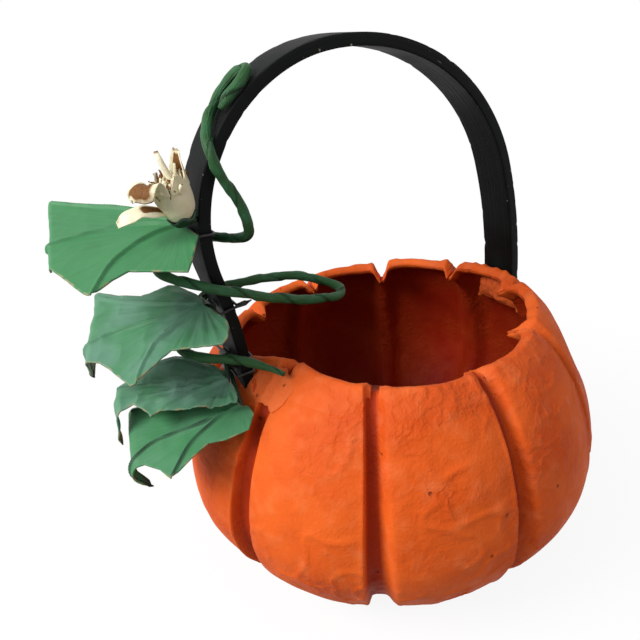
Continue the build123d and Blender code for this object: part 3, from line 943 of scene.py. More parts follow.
# Pad of paper that wraps a foot of the strap inside the bowl. Across the strap: place, and how far its
# face stands in from the strap's middle line. Down the strap: height over the foot, and share of that.
PAD_ACROSS = ((-19, -1), (-16, 2.5), (-13, 4.8), (-6, 5.8), (3, 5.0), (12, 5.2), (16, 2.5), (19, -1))
PAD_DOWN = ((27, 0.8), (24, 1), (18, 1.15), (12, 1.0), (8, 0.4), (5, -1.0))
PAD_ROWS = 30
PAD_COLUMNS = 40
PAD_PAPER = 1.2
# How dark the pads' paint is: shares of the grooves' painted shade and of the inside's paint
PAD_GROOVE_SHADE = 0.3
PAD_INSIDE = 0.15


def make_pads(material):
    for name, foot in (("handle_patch_left", 0.0), ("handle_patch_right", strap_length())):
        x, z, _ = strap_frame(foot)
        inward = -math.copysign(1, x)
        points = []
        for row in range(PAD_ROWS + 1):
            up = mix(PAD_DOWN[0][0], PAD_DOWN[-1][0], row / PAD_ROWS)
            share = table(up, tuple(reversed(PAD_DOWN)))
            for column in range(PAD_COLUMNS + 1):
                across = mix(PAD_ACROSS[0][0], PAD_ACROSS[-1][0], column / PAD_COLUMNS)
                across_now = across + lumps((across, up, foot), 12, 25) * 1.2
                stand = table(across, PAD_ACROSS) * share + lumps((across, up, foot), 9, 24) * 1.3
                stand += abs(lumps((across, up, foot), 6, 26)) * 1.6
                base_x, _, _ = strap_frame(up if foot == 0 else foot - up)
                level = z + up + lumps((across, 0, foot), 8, 27) * 1.2
                points.append((base_x + inward * stand, across_now, level))
        faces = ring_faces(PAD_ROWS + 1, PAD_COLUMNS + 1, closed=False)
        piece = new_piece(
            f"paper_pad{name[12:]}", points, faces, material, BASKET, [name],
            {"groove": [PAD_GROOVE_SHADE] * len(points), "inside": [PAD_INSIDE] * len(points)},
        )
        thicken(piece, PAD_PAPER * MM)


class BASKET_OT_handle(bpy.types.Operator):
    """Makes the bent lath and the paper that holds its feet in the wall"""
    bl_idname = "basket.handle"
    bl_label = "Handle"

    def execute(self, context):
        basket = context.scene.basket
        form = BowlForm(basket.bowl)
        make_strap(basket.handle, black_painted_lath(basket.handle))
        paper = painted_papier_mache(basket.bowl, wear=0.6)
        paper.name = "torn painted paper"
        make_scraps(form, paper)
        make_pads(paper)
        return {"FINISHED"}


# Vine

# How far the vine's middle lies from the strap's own middle, over a face and round an edge
VINE_FACE = 6.2
VINE_EDGE = 16.0
# Route of the vine: length along the strap, place across it, and out from it
VINE_ROUTE = (
    (170.5, -9.8, VINE_FACE + 0.2), (179, -10.6, VINE_FACE + 0.2), (187, -9.4, VINE_FACE + 0.4),
    (192.5, -5.8, VINE_FACE + 0.8), (192.5, -0.8, VINE_FACE + 0.8), (187, 2.4, VINE_FACE + 0.4),
    (179, 3, VINE_FACE + 0.2), (171, 1, VINE_FACE + 0.2), (163, -5, VINE_FACE + 0.4),
    (155.5, -13.2, VINE_FACE + 1), (148.5, -VINE_EDGE - 1.9, 2.6), (140, -VINE_EDGE - 1.6, -7),
    (131, -VINE_EDGE - 1.4, -15), (120, -VINE_EDGE - 1, -20.5), (110.5, -14, -22),
    (106, -9, -21.5), (104, -2, -18),
    (104, 8, -VINE_FACE - 3.5), (103.5, VINE_EDGE + 2.5, -5), (102, VINE_EDGE + 2.5, 6),
    (102, 12, 19), (100.5, -3, 26), (93.5, -14, 14), (85.3, -VINE_EDGE - 1.5, 1),
    (73.7, -VINE_EDGE - 3, -15), (61.2, -17.5, -37), (51.8, -12, -59.5), (48.4, -3, -72.5),
    (51, 6, -70), (58.5, 11.5, -56.4), (65, 13.5, -37), (68, 15, -19.4),
    (70.5, VINE_EDGE + 2.7, -7), (68.5, VINE_EDGE + 2.7, 6), (63, 11, 22), (56, -2, 31),
    (51.8, -13, 23), (44, -VINE_EDGE - 1.6, 5.5), (38.5, -23.5, -6), (34.8, -34, -12.5),
)
VINE_SIDES = 28
VINE_STEPS = 12
# Length of the tape's pattern in one turn round the vine
TAPE_GIRTH = 20


def smooth_line(points, resolution):
    """Points along the smooth spline that these points control."""
    curve = bpy.data.curves.new("route", "CURVE")
    curve.dimensions = "3D"
    curve.resolution_u = resolution
    spline = curve.splines.new("NURBS")
    spline.points.add(len(points) - 1)
    for control, spot in zip(spline.points, points):
        control.co = (*spot, 1)
    spline.order_u = 3
    spline.use_endpoint_u = True
    carrier = bpy.data.objects.new("route", curve)
    mesh = bpy.data.meshes.new_from_object(carrier)
    line = [vertex.co.copy() for vertex in mesh.vertices]
    bpy.data.meshes.remove(mesh)
    bpy.data.objects.remove(carrier)
    bpy.data.curves.remove(curve)
    return line


def make_vine(vine, material):
    line = smooth_line([on_strap(*spot) for spot in VINE_ROUTE], VINE_STEPS)
    radius = vine.radius / MM
    pitch = vine.tape_pitch / MM
    step = vine.tape_step / MM
    lap_shades, places = [], []

    def radius_at(along, share, angle):
        lap = (angle / (2 * math.pi)) % 1
        edge = ramp(0.9, 1.0, lap)
        # Painted shade near the step of the lapped edge, and darker tape in random patches
        lap_shades.append(0.75 * ramp(0.86, 0.97, lap) + 0.25 * max(lumps((along, angle, 0), 6, 30), 0))
        places.append((along, (lap + along / pitch) * TAPE_GIRTH, 0))
        swell = radius - step / 2 + step * (lap - edge)
        swell += lumps((along, math.cos(angle) * 4, math.sin(angle) * 4), 7, 31) * 0.4
        ends = ramp(0, 0.012, share) * (1 - 0.45 * ramp(0.955, 1.0, share))
        return swell * mix(0.55, 1.0, ends) if share < 0.5 else swell * ends

    points, faces = tube_mesh(line, radius_at, VINE_SIDES, twist=2 * math.pi / pitch)
    new_piece(
        "taped_vine", points, faces, material, BASKET, ["vine_wrap", "vine_wire"],
        {"lap": lap_shades}, places,
    )


class BASKET_OT_vine(bpy.types.Operator):
    """Winds the taped wire vine round the left leg of the handle"""
    bl_idname = "basket.vine"
    bl_label = "Vine"

    def execute(self, context):
        vine = context.scene.basket.vine
        make_vine(vine, crepe_tape(vine))
        return {"FINISHED"}


# Leaves

# One entry for each leaf, from the top down. root, turn, lean and droop set the blade's plane, as in
# the imported model. The outline and ribs are (out, front) from the root on the flat sheet, which turns
# down past the bend through fold degrees, on bend_radius; skew turns the bend. fan is the depth of the
# creases that spread from the stem, crumple that of the dents, chalk is how much of the greyer green
# shows, and lift raises the blade to keep it off its neighbour when they swing. rib_darkness is how
# dark the line painted along its ribs is.
LEAVES = (
    dict(
        root=(-114.6, -5.0, 236.6), turn=12, lean=12, droop=6,
        bend=62, skew=0.0, bend_radius=3.0, fold=80,
        fan=0.12, crumple=0.15, chalk=0.1, lift=0.0, rib_darkness=0.05,
        outline=((-1, 3), (-5.4, 14), (1.4, 34.5), (4, 41), (16, 34.5), (28.7, 27.8), (36, 31.5), (46, 40),
                 (49, 36), (56, 21.5), (62.5, 9), (69, 4), (69, -63), (62, -61), (50, -50.5), (37, -41.5),
                 (27, -34.5), (18, -27), (8, -14), (1, -3)),
        ribs=(((0, 0), (11, 1.5), (21, 6), (31, 14), (39, 23), (45.5, 39)),
              ((0, 0), (14, -8), (30, -13), (46, -13.8), (67, -12)),
              ((0, 0), (18, -25), (50, -48.5), (62, -58))),
    ),
    dict(
        root=(-111.5, -5.0, 192.9), turn=24, lean=14, droop=10,
        bend=59.5, skew=0.06, bend_radius=6.0, fold=78,
        fan=0.8, crumple=0.5, chalk=0.75, lift=0.0, rib_darkness=0.05,
        outline=((-1, 2), (-4, 5), (-12.3, 17.7), (-13.4, 23), (-12.7, 30), (-10, 34.7), (3, 32),
                 (16, 29.3), (25, 38.5), (32, 46.5), (35, 46.5), (46, 32.6), (53.4, 24.4), (60, 22),
                 (68, 19), (78, 14), (85, 10), (81, 4), (73, -3), (69, -12), (67, -36), (62, -35),
                 (50, -28), (36.4, -22), (29, -23.3), (19.4, -25), (16, -23.5), (6, -13), (0, -4)),
        ribs=(((0, 0), (11.7, 14), (21.8, 19), (27.4, 26), (31.5, 45)),
              ((0, 0), (13, 5.3), (28, 4.2), (44.6, 4.4), (57.6, 8), (70, 12), (83, 10)),
              ((0, 0), (12.7, -5.2), (35.7, -14.5), (54, -24.6), (64, -32)), ((2, 3), (12, 11), (20, 15))),
    ),
    dict(
        root=(-108.4, -12.0, 149.7), turn=20, lean=14, droop=10,
        bend=58.5, skew=0.0, bend_radius=5.0, fold=78,
        fan=1.3, crumple=1.4, chalk=1.0, lift=1.4, rib_darkness=0.15,
        outline=((-1, 2), (-3.4, 6.6), (-5, 13), (-4, 19.2), (12.7, 16.5), (26, 12.8), (38, 11.8), (41, 15),
                 (43.6, 9), (52, 0.8), (58, 3), (66, 6.5), (82, 7), (79, 2), (71, -3), (65, -9), (61, -15),
                 (57.7, -19), (49, -24.5), (40, -29.2), (27.7, -29.1), (19.5, -24), (5.4, -11.7), (0, -5)),
        ribs=(((0, 0), (14.8, 4), (28.7, 6), (40.8, 14)),
              ((0, 0), (6, -3.8), (20, -4.2), (43, -10.8), (60, -14)),
              ((0, 0), (12, -15), (26, -24), (40, -27)), ((8, 2), (18, -1), (34, -2), (50, -3))),
    ),
    dict(
        root=(-106.3, -22.0, 137.5), turn=15, lean=16, droop=12,
        bend=58, skew=0.0, bend_radius=8.0, fold=125,
        fan=0.15, crumple=0.2, chalk=0.25, lift=-0.6, rib_darkness=0.8,
        outline=((0, 1), (-4, 2.6), (-5.8, 8.5), (-2.8, 14.5), (-1, 17.4), (11.6, 18.4), (21, 16.8),
                 (31, 22.7), (40, 29), (42.6, 30.5), (48, 21.7), (55.7, 15.3), (61, 15), (68, 16.5),
                 (78, 18), (85, 17), (82, 13.5), (75, 10), (70, 4), (68, -8), (66, -25), (60, -25.5),
                 (48, -23), (37, -21.8), (18, -15), (1, -3)),
        ribs=(((0, 0), (11.8, 2.8), (21, 7.4), (27, 11), (33, 16.7), (42, 29.5)),
              ((6, 1.5), (23, 3), (40, 3.1), (51, 4.2), (58, 8), (68, 13), (83, 16.5)),
              ((0, 0), (20, -12), (38, -19), (60, -23))),
    ),
)
RIB_STEPS = 5
RIB_SIDES = 8
# Points of a rib's crease that its wire stops short of
RIB_SHORT = 3
# Distance from the stem at which the brush strokes have their true width
STROKE_REACH = 40


def leaf_matrix(form):
    """Frame of a blade: x out along the leaf, y to its front and z off its upper face."""
    turned, lean, droop = (math.radians(form[key]) for key in ("turn", "lean", "droop"))
    level = Vector((-math.cos(turned), math.sin(turned), 0))
    away = Vector((math.sin(turned), math.cos(turned), 0))
    face = Vector((0, 0, 1)) * math.cos(lean) - away * math.sin(lean)
    out = level * math.cos(droop) - face * math.sin(droop)
    normal = face * math.cos(droop) + level * math.sin(droop)
    matrix = Matrix((out, normal.cross(out), normal)).transposed().to_4x4()
    matrix.translation = Vector(form["root"])
    return matrix


class Blade:
    """Surface of one leaf: a flat sheet with ribs and creases that turns down past its bend."""

    def __init__(self, number, form, leaf):
        self.number = number
        self.form = form
        self.matrix = leaf_matrix(form)
        self.rib_height = leaf.rib_height / MM
        self.rib_width = leaf.rib_spread / MM
        self.lines = [smooth_line([Vector((*spot, 0)) for spot in line], RIB_STEPS) for line in form["ribs"]]
        self.ribs = [[spot.to_2d() for spot in line] for line in self.lines]

    def near_rib(self, flat):
        """Distance to the nearest rib, the length along it, and the rib's full length."""
        reads = [(*near_line(flat, line), (line[-1] - line[0]).length) for line in self.ribs]
        return min(reads)

    def height(self, flat):
        """Relief of the sheet over its plane."""
        reach = flat.length
        gap, along, length = self.near_rib(flat)
        strength = ramp(0, 8, along + 3) * (1 - 0.35 * along / length)
        rise = self.rib_height * math.exp(-((gap / self.rib_width) ** 2)) * strength
        rise += 0.9 * math.exp(-gap / 6) - 0.9
        bearing = math.atan2(flat.y, flat.x)
        creases = lumps((bearing * 8, reach * 0.03, self.number), 1.0, 40)
        creases += 0.6 * lumps((bearing * 18, reach * 0.05, self.number), 1.0, 41)
        rise += self.form["fan"] * creases * ramp(2, 14, reach) * (1 - 0.6 * ramp(20, 60, reach))
        spot = (flat.x, flat.y, self.number * 9)
        rise += lumps(spot, 28, 42) * 0.9
        dents = abs(lumps(spot, 11, 43))
        rise += self.form["crumple"] * (0.5 - 2.2 * dents)
        rise += self.form["lift"] * ramp(4, 30, reach)
        return rise

    def point(self, flat, offset=0.0):
        """Place of a point of the flat sheet, offset off its upper face."""
        form = self.form
        rise = self.height(flat) + offset
        radius = form["bend_radius"]
        bend = form["bend"] - form["skew"] * flat.y
        past = flat.x - bend
        if past <= 0:
            local = Vector((flat.x, flat.y, rise))
        else:
            arc = radius * math.radians(form["fold"])
            angle = min(past, arc) / radius
            rest = max(past - arc, 0)
            x = bend + (radius + rise) * math.sin(angle) + rest * math.cos(angle)
            z = (radius + rise) * math.cos(angle) - radius - rest * math.sin(angle)
            local = Vector((x, flat.y, z))
        return self.matrix @ local


def make_blade(number, form, leaf, blade):
    body = f"leaf_{number}"
    name = "painted leaf paper" if form["chalk"] < 0.5 else "chalky leaf paper"
    material = painted_leaf_paper(leaf, f"{name} {number}", form["chalk"])
    flat, faces, gaps = flat_mesh([Vector(corner) for corner in form["outline"]], leaf.grid / MM)
    points = [blade.point(spot) for spot in flat]
    ribs, rims, tips, places = [], [], [], []
    for spot, gap in zip(flat, gaps):
        away, along, _ = blade.near_rib(spot)
        # How dark the line along a rib is: the leaf's rib_darkness, varied in random patches and faded in
        # from the stem
        rubbed = form["rib_darkness"] + 0.5 * lumps((spot.x, spot.y, 0), 9, 44)
        ribs.append(max((1 - ramp(0.5, 1.6, away)) * rubbed * ramp(3, 18, along), 0))
        rims.append(1 - ramp(0.1, 0.8, gap))
        tips.append(ramp(form["bend"] + 17, form["bend"] + 24, spot.x))
        places.append((spot.length, math.atan2(spot.y, spot.x) * STROKE_REACH, 0))
    piece = new_piece(
        f"{body}_paper_blade", points, faces, material, body, [f"{body}_blade"],
        {"rib": ribs, "rim": rims, "tip": tips}, places,
    )
    thicken(piece, leaf.paper, -1.0)


def make_rib_wires(number, leaf, blade, material):
    radius = leaf.rib_radius / MM
    depth = radius * 0.6 + leaf.paper / MM
    all_points, all_faces = [], []
    for line in blade.lines:
        path = [blade.point(spot.to_2d(), -depth) for spot in line[:-RIB_SHORT]]
        points, faces = tube_mesh(path, lambda along, share, angle: radius * mix(0.8, 0.5, share), RIB_SIDES)
        start = len(all_points)
        all_points += points
        all_faces += [tuple(start + corner for corner in face) for face in faces]
    body = f"leaf_{number}"
    new_piece(f"{body}_rib_wires", all_points, all_faces, material, body, [f"{body}_ribs"])


class BASKET_OT_leaves(bpy.types.Operator):
    """Makes the four paper leaves with their rib wires and stems"""
    bl_idname = "basket.leaves"
    bl_label = "Leaves"

    def execute(self, context):
        leaf = context.scene.basket.leaf
        stem_material = drawn_wire("green lacquered wire", leaf.stem, leaf.rib_dark, 0.4)
        for number, form in enumerate(LEAVES, start=1):
            blade = Blade(number, form, leaf)
            make_blade(number, form, leaf, blade)
            make_rib_wires(number, leaf, blade, stem_material)
            dress(f"leaf_{number}_stem", stem_material)
        return {"FINISHED"}


# Blossom

# The cup's foot on the strap, as length along it, across and out, and the blossom's own directions
BLOSSOM_PLACE = (121.2, -12.0, 10.0)
BLOSSOM_UP = Vector((-0.25, -0.05, 1.0))
BLOSSOM_OUT = Vector((-1.0, 0.0, -0.25))
# Side of the cup from its foot to its mouth: radius and height
CUP = ((0.0, 0.5), (2.6, 0.1), (4.8, 0.7), (6.6, 2.8), (7.9, 6.0), (8.6, 10.0), (8.9, 14.0), (8.9, 18.0),
       (8.8, 21.5))
# Petals on the cup's mouth: middle and spread in degrees, straight length, curl radius, curl in degrees,
# how pointed the tip is and how scorched the middle. Angles run from the side away from the handle to
# the front.
PETALS = {
    "blossom_petal_back": (190, 120, 5.0, 15.0, 24, 0.8, 0.5),
    "blossom_petal_left": (24, 92, 0.0, 4.4, 190, 0.4, 0.52),
    "blossom_petal_front": (105, 64, 1.0, 14.0, 12, 0.8, 0.0),
}
# Length of a petal that is glued to the cup
PETAL_ROOT = 4
# Rows and columns of the sheets
CUP_GRID = (26, 48)
PETAL_GRID = (20, 20)
LONG_PETAL_GRID = (22, 14)


def blossom_matrix():
    up = BLOSSOM_UP.normalized()
    out = BLOSSOM_OUT.normalized()
    matrix = Matrix((out, up.cross(out), up)).transposed().to_4x4()
    matrix.translation = on_strap(*BLOSSOM_PLACE)
    return matrix


def make_sheet(name, grid, place, materials, nodes, thickness, closed=False):
    """Torn sheet from a function of two shares, which gives a point and how scorched it is there.

    The first material is on its outer face and the second on its inner face.
    """
    rows, columns = grid
    points, browns = [], []
    for row in range(rows + 1):
        for column in range(columns + (0 if closed else 1)):
            spot, brown = place(row / rows, column / columns)
            points.append(spot)
            browns.append(brown)
    faces = ring_faces(rows + 1, columns if closed else columns + 1, closed)
    piece = new_piece(name, points, faces, materials[0], BASKET, nodes, {"brown": browns})
    piece.data.materials.append(materials[1])
    thicken(piece, thickness, -1.0)
    piece.modifiers[0].material_offset = 1
    round_off(piece)


def make_cup(matrix, materials, thickness):
    heights = [(number / (len(CUP) - 1), z) for number, (_, z) in enumerate(CUP)]
    radii = [(number / (len(CUP) - 1), r) for number, (r, _) in enumerate(CUP)]

    def cup(share, turned):
        angle = 2 * math.pi * turned
        torn = lumps((math.cos(angle) * 3, math.sin(angle) * 3, 0), 1.1, 50)
        ragged = torn * 1.6 - 2.2 * max(math.cos(angle - 1.1), 0)
        height = table(share, heights) + ragged * ramp(0.75, 1, share)
        radius = table(share, radii)
        radius += lumps(around(radius, angle, height), 8, 51) * 0.5 * ramp(0.1, 0.4, share)
        radius += 0.5 * math.cos(3 * angle) * ramp(0.5, 1, share)
        return matrix @ around(radius, angle, height), 0.3 * ramp(0.94, 1.0, share)

    make_sheet("cream_cup", CUP_GRID, cup, materials, ["blossom_cup"], thickness, closed=True)


def make_petals(matrix, materials, thickness):
    mouth, top = CUP[-1]

    for number, (node, form) in enumerate(PETALS.items()):
        middle, spread, length, curl, bend, point, scorched = form

        def petal(share, across):
            side = 2 * across - 1
            torn = 1 + 0.18 * lumps((side * 2.2, number * 5, 0), 0.6, 52)
            total = length + curl * math.radians(bend)
            run = PETAL_ROOT + total * torn
            along = run * share - PETAL_ROOT
            angle = math.radians(middle + side * spread / 2 * (1 - point * share**1.6))
            past = max(along - length, 0) / curl
            radius = mouth + 0.5 + curl * (1 - math.cos(past))
            height = top - 1.5 + min(along, length) + curl * math.sin(past)
            spot = around(radius, angle, height)
            spot += Vector((lumps(spot, 6, 53), lumps(spot, 6, 54), 0)) * 0.9 * share
            brown = scorched * ramp(0.2, 0.45, share) * (1 - ramp(0.45, 0.8, abs(side)))
            brown *= 1 - ramp(0.8, 0.95, share)
            return matrix @ spot, brown + 0.3 * ramp(0.93, 1.0, share)

        make_sheet(f"cream_{node[8:]}", PETAL_GRID, petal, materials, [node], thickness)

    def long_petal(share, across):
        side = 2 * across - 1
        half = mix(2.8, 3.6, ramp(0, 0.4, share)) * (1 - ramp(0.7, 1.04, share) ** 2) + 0.2
        out = 7.5 + 21.5 * share
        height = 9.4 + 2.6 * math.sin(math.pi * share) + 3.2 * share - 1.6 * side**2 * (1 - share)
        spot = Vector((out, half * side + 1.2 * share, height))
        spot.z += lumps(spot, 5, 55) * 1.2 - 1.6 * side
        return matrix @ spot, 0.8 * (1 - ramp(0.35, 0.55, share)) * (1 - ramp(0.35, 0.75, abs(side)))

    cream = (materials[0], materials[0])
    make_sheet("cream_petal_long", LONG_PETAL_GRID, long_petal, cream, ["blossom_petal_long"], thickness)


# Green collar under the cup: radius and height
CALYX = ((1.6, -1.6), (3.4, -1.4), (5.2, -0.2), (6.4, 1.6), (7.0, 3.0))
CALYX_SIDES = 36
CALYX_WAX = 0.8


def make_calyx(matrix, material):
    """Small waxed collar with a scalloped edge, pressed on the cup's foot."""
    points = []
    for row, (radius, height) in enumerate(CALYX):
        for step in range(CALYX_SIDES):
            angle = 2 * math.pi * step / CALYX_SIDES
            scallop = 1.2 * math.cos(5 * angle) * row / (len(CALYX) - 1)
            points.append(matrix @ around(radius + 0.3, angle, height + scallop))
    faces = ring_faces(len(CALYX), CALYX_SIDES)
    piece = new_piece("waxed_calyx", points, faces, material, BASKET, ["blossom_calyx"])
    thicken(piece, CALYX_WAX * MM)


# Slips of the shredded middle; the first is the tall one
SHREDS = 110
SHRED_ROWS = 6
SHRED_PAPER = 0.3
SHRED_SEED = 8


def make_core(matrix, material):
    shreds = random.Random(SHRED_SEED)
    points, faces, browns = [], [], []
    for slip in range(SHREDS):
        angle = shreds.uniform(0, 2 * math.pi)
        foot = around(7.4 * math.sqrt(shreds.random()), angle, shreds.uniform(12, 18))
        lean = Vector((shreds.uniform(-0.5, 1.1), shreds.uniform(-0.6, 0.8), 0.8)).normalized()
        length = shreds.uniform(4, 8)
        width = shreds.uniform(0.7, 1.8)
        if slip == 0:
            foot, lean, length, width = Vector((-2, 1, 12)), Vector((0.06, -0.1, 1)), 22, 2.2
        aside = Matrix.Rotation(shreds.uniform(0, math.pi), 3, lean) @ lean.orthogonal().normalized()
        if slip == 0:
            aside = Vector((-0.88, 0.46, 0))
        bow = lean.cross(aside) * shreds.uniform(-3, 3)
        start = len(points)
        tint = shreds.choice((0.0, 0.15, 0.5, 0.9)) if slip else 0.0
        for row in range(SHRED_ROWS):
            share = row / (SHRED_ROWS - 1)
            centre = foot + lean * length * share + bow * share**2
            half = aside * width * (1 - 0.55 * share)
            points += [matrix @ (centre - half), matrix @ (centre + half)]
            browns += [tint + (0.8 if slip == 0 and row == SHRED_ROWS - 1 else 0)] * 2
        for row in range(SHRED_ROWS - 1):
            corner = start + row * 2
            faces.append((corner, corner + 1, corner + 3, corner + 2))
    core = new_piece(
        "shredded_core", points, faces, material, BASKET, ["blossom_core"],
        {"brown": browns},
    )
    thicken(core, SHRED_PAPER * MM)


class BASKET_OT_blossom(bpy.types.Operator):
    """Makes the torn paper blossom with its calyx and stem"""
    bl_idname = "basket.blossom"
    bl_label = "Blossom"

    def execute(self, context):
        basket = context.scene.basket
        matrix = blossom_matrix()
        outer = torn_cream_paper(basket.blossom, "torn cream paper", 0.0)
        inner = torn_cream_paper(basket.blossom, "scorched cream paper", 0.3)
        make_cup(matrix, (outer, inner), basket.blossom.paper)
        make_petals(matrix, (outer, inner), basket.blossom.paper)
        make_core(matrix, outer)
        green = drawn_wire("green waxed calyx", basket.leaf.stem, basket.leaf.rib_dark, 0.3)
        make_calyx(matrix, green)
        dress("blossom_stem", green)
        return {"FINISHED"}


# Tie wires: length along the strap, and whether a tail shows
TIES = ((113.5, False), (71.5, True), (39.5, False), (31.5, False))
# Half the loop's width, and how far it stands out from the strap's middle line on each face
TIE_SIDE = 14.2
TIE_OUT = 6.11
TIE_IN = -4.4
TIE_RADIUS = 0.75
TIE_SIDES = 10
# The tail takes the place of the loop's point at its inner front corner: along, across and out from there
TAIL_AT = 8
TIE_TAIL = ((0, 1.5, 0), (1, -1, -4), (0.5, -1.6, -7), (-0.6, -0.8, -4))


def make_tie(number, along, tailed, material):
    """Wire wound once round the strap, through the eye of the leaf's stem."""
    corners = [
        (0, TIE_OUT), (TIE_SIDE, TIE_OUT), (TIE_SIDE, TIE_IN), (-TIE_SIDE, TIE_IN), (-TIE_SIDE, TIE_OUT),
    ]
    line = []
    for (across, out), (next_across, next_out) in zip(corners, corners[1:] + corners[:1]):
        for share in (0.08, 0.5, 0.92):
            wave = 0.15 * math.sin(across + 5 * share)
            line.append(on_strap(along + wave, mix(across, next_across, share), mix(out, next_out, share)))
    if tailed:
        line[TAIL_AT:TAIL_AT + 1] = [
            on_strap(along + ahead, -TIE_SIDE + across, TIE_IN + out) for ahead, across, out in TIE_TAIL
        ]
    points, faces = tube_mesh([*line, line[0]], lambda passed, share, angle: TIE_RADIUS, TIE_SIDES)
    new_piece(f"wound_tie_{number}", points, faces, material, BASKET, [f"leaf_{number}_tie"])


class BASKET_OT_ties(bpy.types.Operator):
    """Winds the tie wires that hold the leaf stems on the handle"""
    bl_idname = "basket.ties"
    bl_label = "Tie wires"

    def execute(self, context):
        wire = context.scene.basket.wire
        material = drawn_wire("black annealed wire", wire.wire, wire.shine, 0.3)
        for number, (along, tailed) in enumerate(TIES, start=1):
            make_tie(number, along, tailed, material)
        return {"FINISHED"}


# Stage

def seen_directly(tree):
    """1 for rays from the camera, straight or by way of metal and glass, and 0 for the rest."""
    rays = add_node(tree, "ShaderNodeLightPath").outputs
    seen = maths(tree, "MAXIMUM", rays["Is Camera Ray"], rays["Is Glossy Ray"])
    return maths(tree, "MAXIMUM", seen, rays["Is Transmission Ray"])


def pale_floor(stage):
    """Seamless paper sweep: matt and white, so that only the soft shadow shows, and no horizon."""
    material, tree, shader = start_material("pale paper sweep", 0.9, 0.1)
    seen = seen_directly(tree)
    tree.links.new(blend(tree, seen, stage.floor_bounce, stage.floor), shader.inputs["Base Color"])
    # The shadow fades out between 0.1 and 0.4 m from the middle
    away = add_node(tree, "ShaderNodeVectorMath", {0: position(tree)}, operation="LENGTH").outputs["Value"]
    white = maths(tree, "MULTIPLY", rescale(tree, away, 0.1, 0.4, 0.9, 1.0), seen)
    glow = add_node(tree, "ShaderNodeEmission", {"Color": (1, 1, 1, 1), "Strength": 1.0})
    both = add_node(tree, "ShaderNodeMixShader", {0: white, 1: shader.outputs[0], 2: glow.outputs[0]})
    tree.links.new(both.outputs[0], tree.nodes["Material Output"].inputs["Surface"])
    return material


LAMP_AIM = Vector((0, 0, 0.12))
# Lamps: bearing and elevation in degrees, distance and width in metres, and watts
LAMPS = {
    "key": (177, 39, 1.35, 0.65, 18),
    "front": (206, 36, 1.5, 0.8, 5),
    "fill": (305, 28, 1.6, 1.0, 4.6),
}
# Half the floor's width in metres
FLOOR_HALF = 6.0
# The floor lies just under the basket's flat underside
FLOOR_GAP = 0.0004
# Strength of the white surroundings as light; the camera sees them at full strength
ROOM_LIGHT = 0.3


def add_lamp(name, bearing, elevation, distance, width, power):
    """Round soft lamp aimed at the basket, from a bearing and elevation in degrees."""
    lamp = bpy.data.lights.new(name, "AREA")
    lamp.shape = "DISK"
    lamp.size = width
    lamp.energy = power
    holder = bpy.data.objects.new(name, lamp)
    bpy.context.scene.collection.objects.link(holder)
    rise = math.radians(elevation)
    away = around(math.cos(rise), math.radians(bearing), math.sin(rise))
    holder.location = LAMP_AIM + away * distance
    holder.rotation_euler = away.to_track_quat("Z", "Y").to_euler()


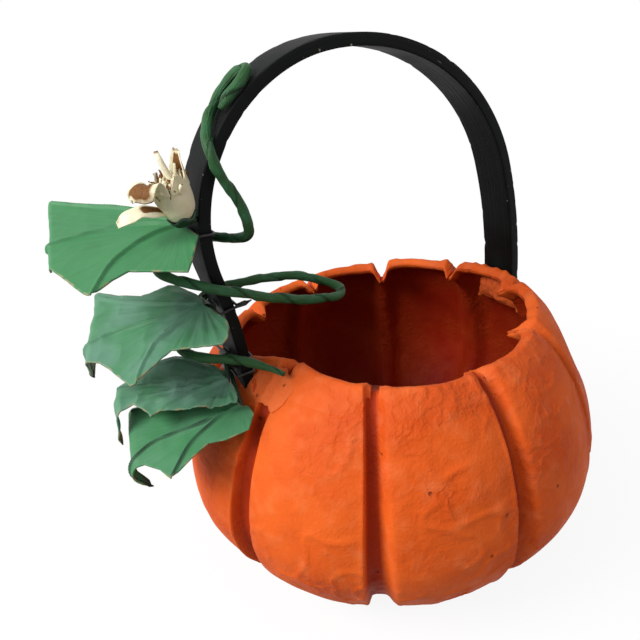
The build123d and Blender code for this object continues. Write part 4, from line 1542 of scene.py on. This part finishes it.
class BASKET_OT_stage(bpy.types.Operator):
    """Sets the floor, the lamps, the surroundings and the camera"""
    bl_idname = "basket.stage"
    bl_label = "Stage"

    def execute(self, context):
        scene = context.scene
        stage = scene.basket.stage
        corners = [(x * FLOOR_HALF, y * FLOOR_HALF, 0) for x, y in ((-1, -1), (1, -1), (1, 1), (-1, 1))]
        mesh = bpy.data.meshes.new("floor")
        mesh.from_pydata(corners, [], [(0, 1, 2, 3)])
        mesh.materials.append(pale_floor(stage))
        floor = bpy.data.objects.new("floor", mesh)
        floor.location.z = -FLOOR_GAP
        scene.collection.objects.link(floor)

        for name, place in LAMPS.items():
            add_lamp(name, *place)

        world = bpy.data.worlds.new("white room")
        scene.world = world
        world.use_nodes = True
        tree = world.node_tree
        tree.nodes.clear()
        strength = rescale(tree, seen_directly(tree), 0, 1, ROOM_LIGHT, 1)
        sky = add_node(tree, "ShaderNodeBackground", {"Color": (1, 1, 1, 1), "Strength": strength})
        add_node(tree, "ShaderNodeOutputWorld", {"Surface": sky.outputs[0]})

        camera = bpy.data.objects.new("camera", bpy.data.cameras.new("camera"))
        scene.collection.objects.link(camera)
        camera.data.lens = stage.lens
        camera.data.sensor_width = 36
        back = Vector((
            math.sin(stage.azimuth) * math.cos(stage.elevation),
            -math.cos(stage.azimuth) * math.cos(stage.elevation),
            math.sin(stage.elevation),
        ))
        level = Vector((math.cos(stage.azimuth), math.sin(stage.azimuth), 0))
        upright = back.cross(level)
        right = level * math.cos(stage.roll) + upright * math.sin(stage.roll)
        up = upright * math.cos(stage.roll) - level * math.sin(stage.roll)
        matrix = Matrix((right, up, back)).transposed().to_4x4()
        aim = level * stage.aim_side + Vector((0, 0, stage.aim_height))
        matrix.translation = aim + back * stage.distance
        camera.matrix_world = matrix
        scene.camera = camera
        scene.view_settings.view_transform = "Standard"
        return {"FINISHED"}


class BASKET_PT_panel(bpy.types.Panel):
    """Sidebar panel that lists the basket's pieces and their settings"""
    bl_label = "Pumpkin basket"
    bl_idname = "BASKET_PT_panel"
    bl_space_type = "VIEW_3D"
    bl_region_type = "UI"
    bl_category = "Basket"

    def draw(self, context):
        for operator in OPERATORS:
            self.layout.operator(operator.bl_idname)
        basket = context.scene.basket
        for group in basket.bl_rna.properties:
            if group.type == "POINTER" and group.identifier != "rna_type":
                settings = getattr(basket, group.identifier)
                box = self.layout.box()
                box.label(text=group.name)
                for item in settings.bl_rna.properties:
                    if item.identifier not in ("rna_type", "name"):
                        box.prop(settings, item.identifier)


OPERATORS = (
    BASKET_OT_stage, BASKET_OT_bowl, BASKET_OT_handle, BASKET_OT_vine, BASKET_OT_leaves, BASKET_OT_blossom,
    BASKET_OT_ties,
)
GROUPS = (
    BowlSettings, HandleSettings, VineSettings, LeafSettings, BlossomSettings, WireSettings, StageSettings,
    BasketSettings,
)


def register():
    for group in (*GROUPS, *OPERATORS, BASKET_PT_panel):
        bpy.utils.register_class(group)
    bpy.types.Scene.basket = PointerProperty(type=BasketSettings)


def unregister():
    del bpy.types.Scene.basket
    for group in reversed((*GROUPS, *OPERATORS, BASKET_PT_panel)):
        bpy.utils.unregister_class(group)


def main():
    register()
    bpy.ops.basket.stage()
    bpy.ops.basket.bowl()
    bpy.ops.basket.handle()
    bpy.ops.basket.vine()
    bpy.ops.basket.leaves()
    bpy.ops.basket.blossom()
    bpy.ops.basket.ties()


if __name__ == "__main__":
    main()
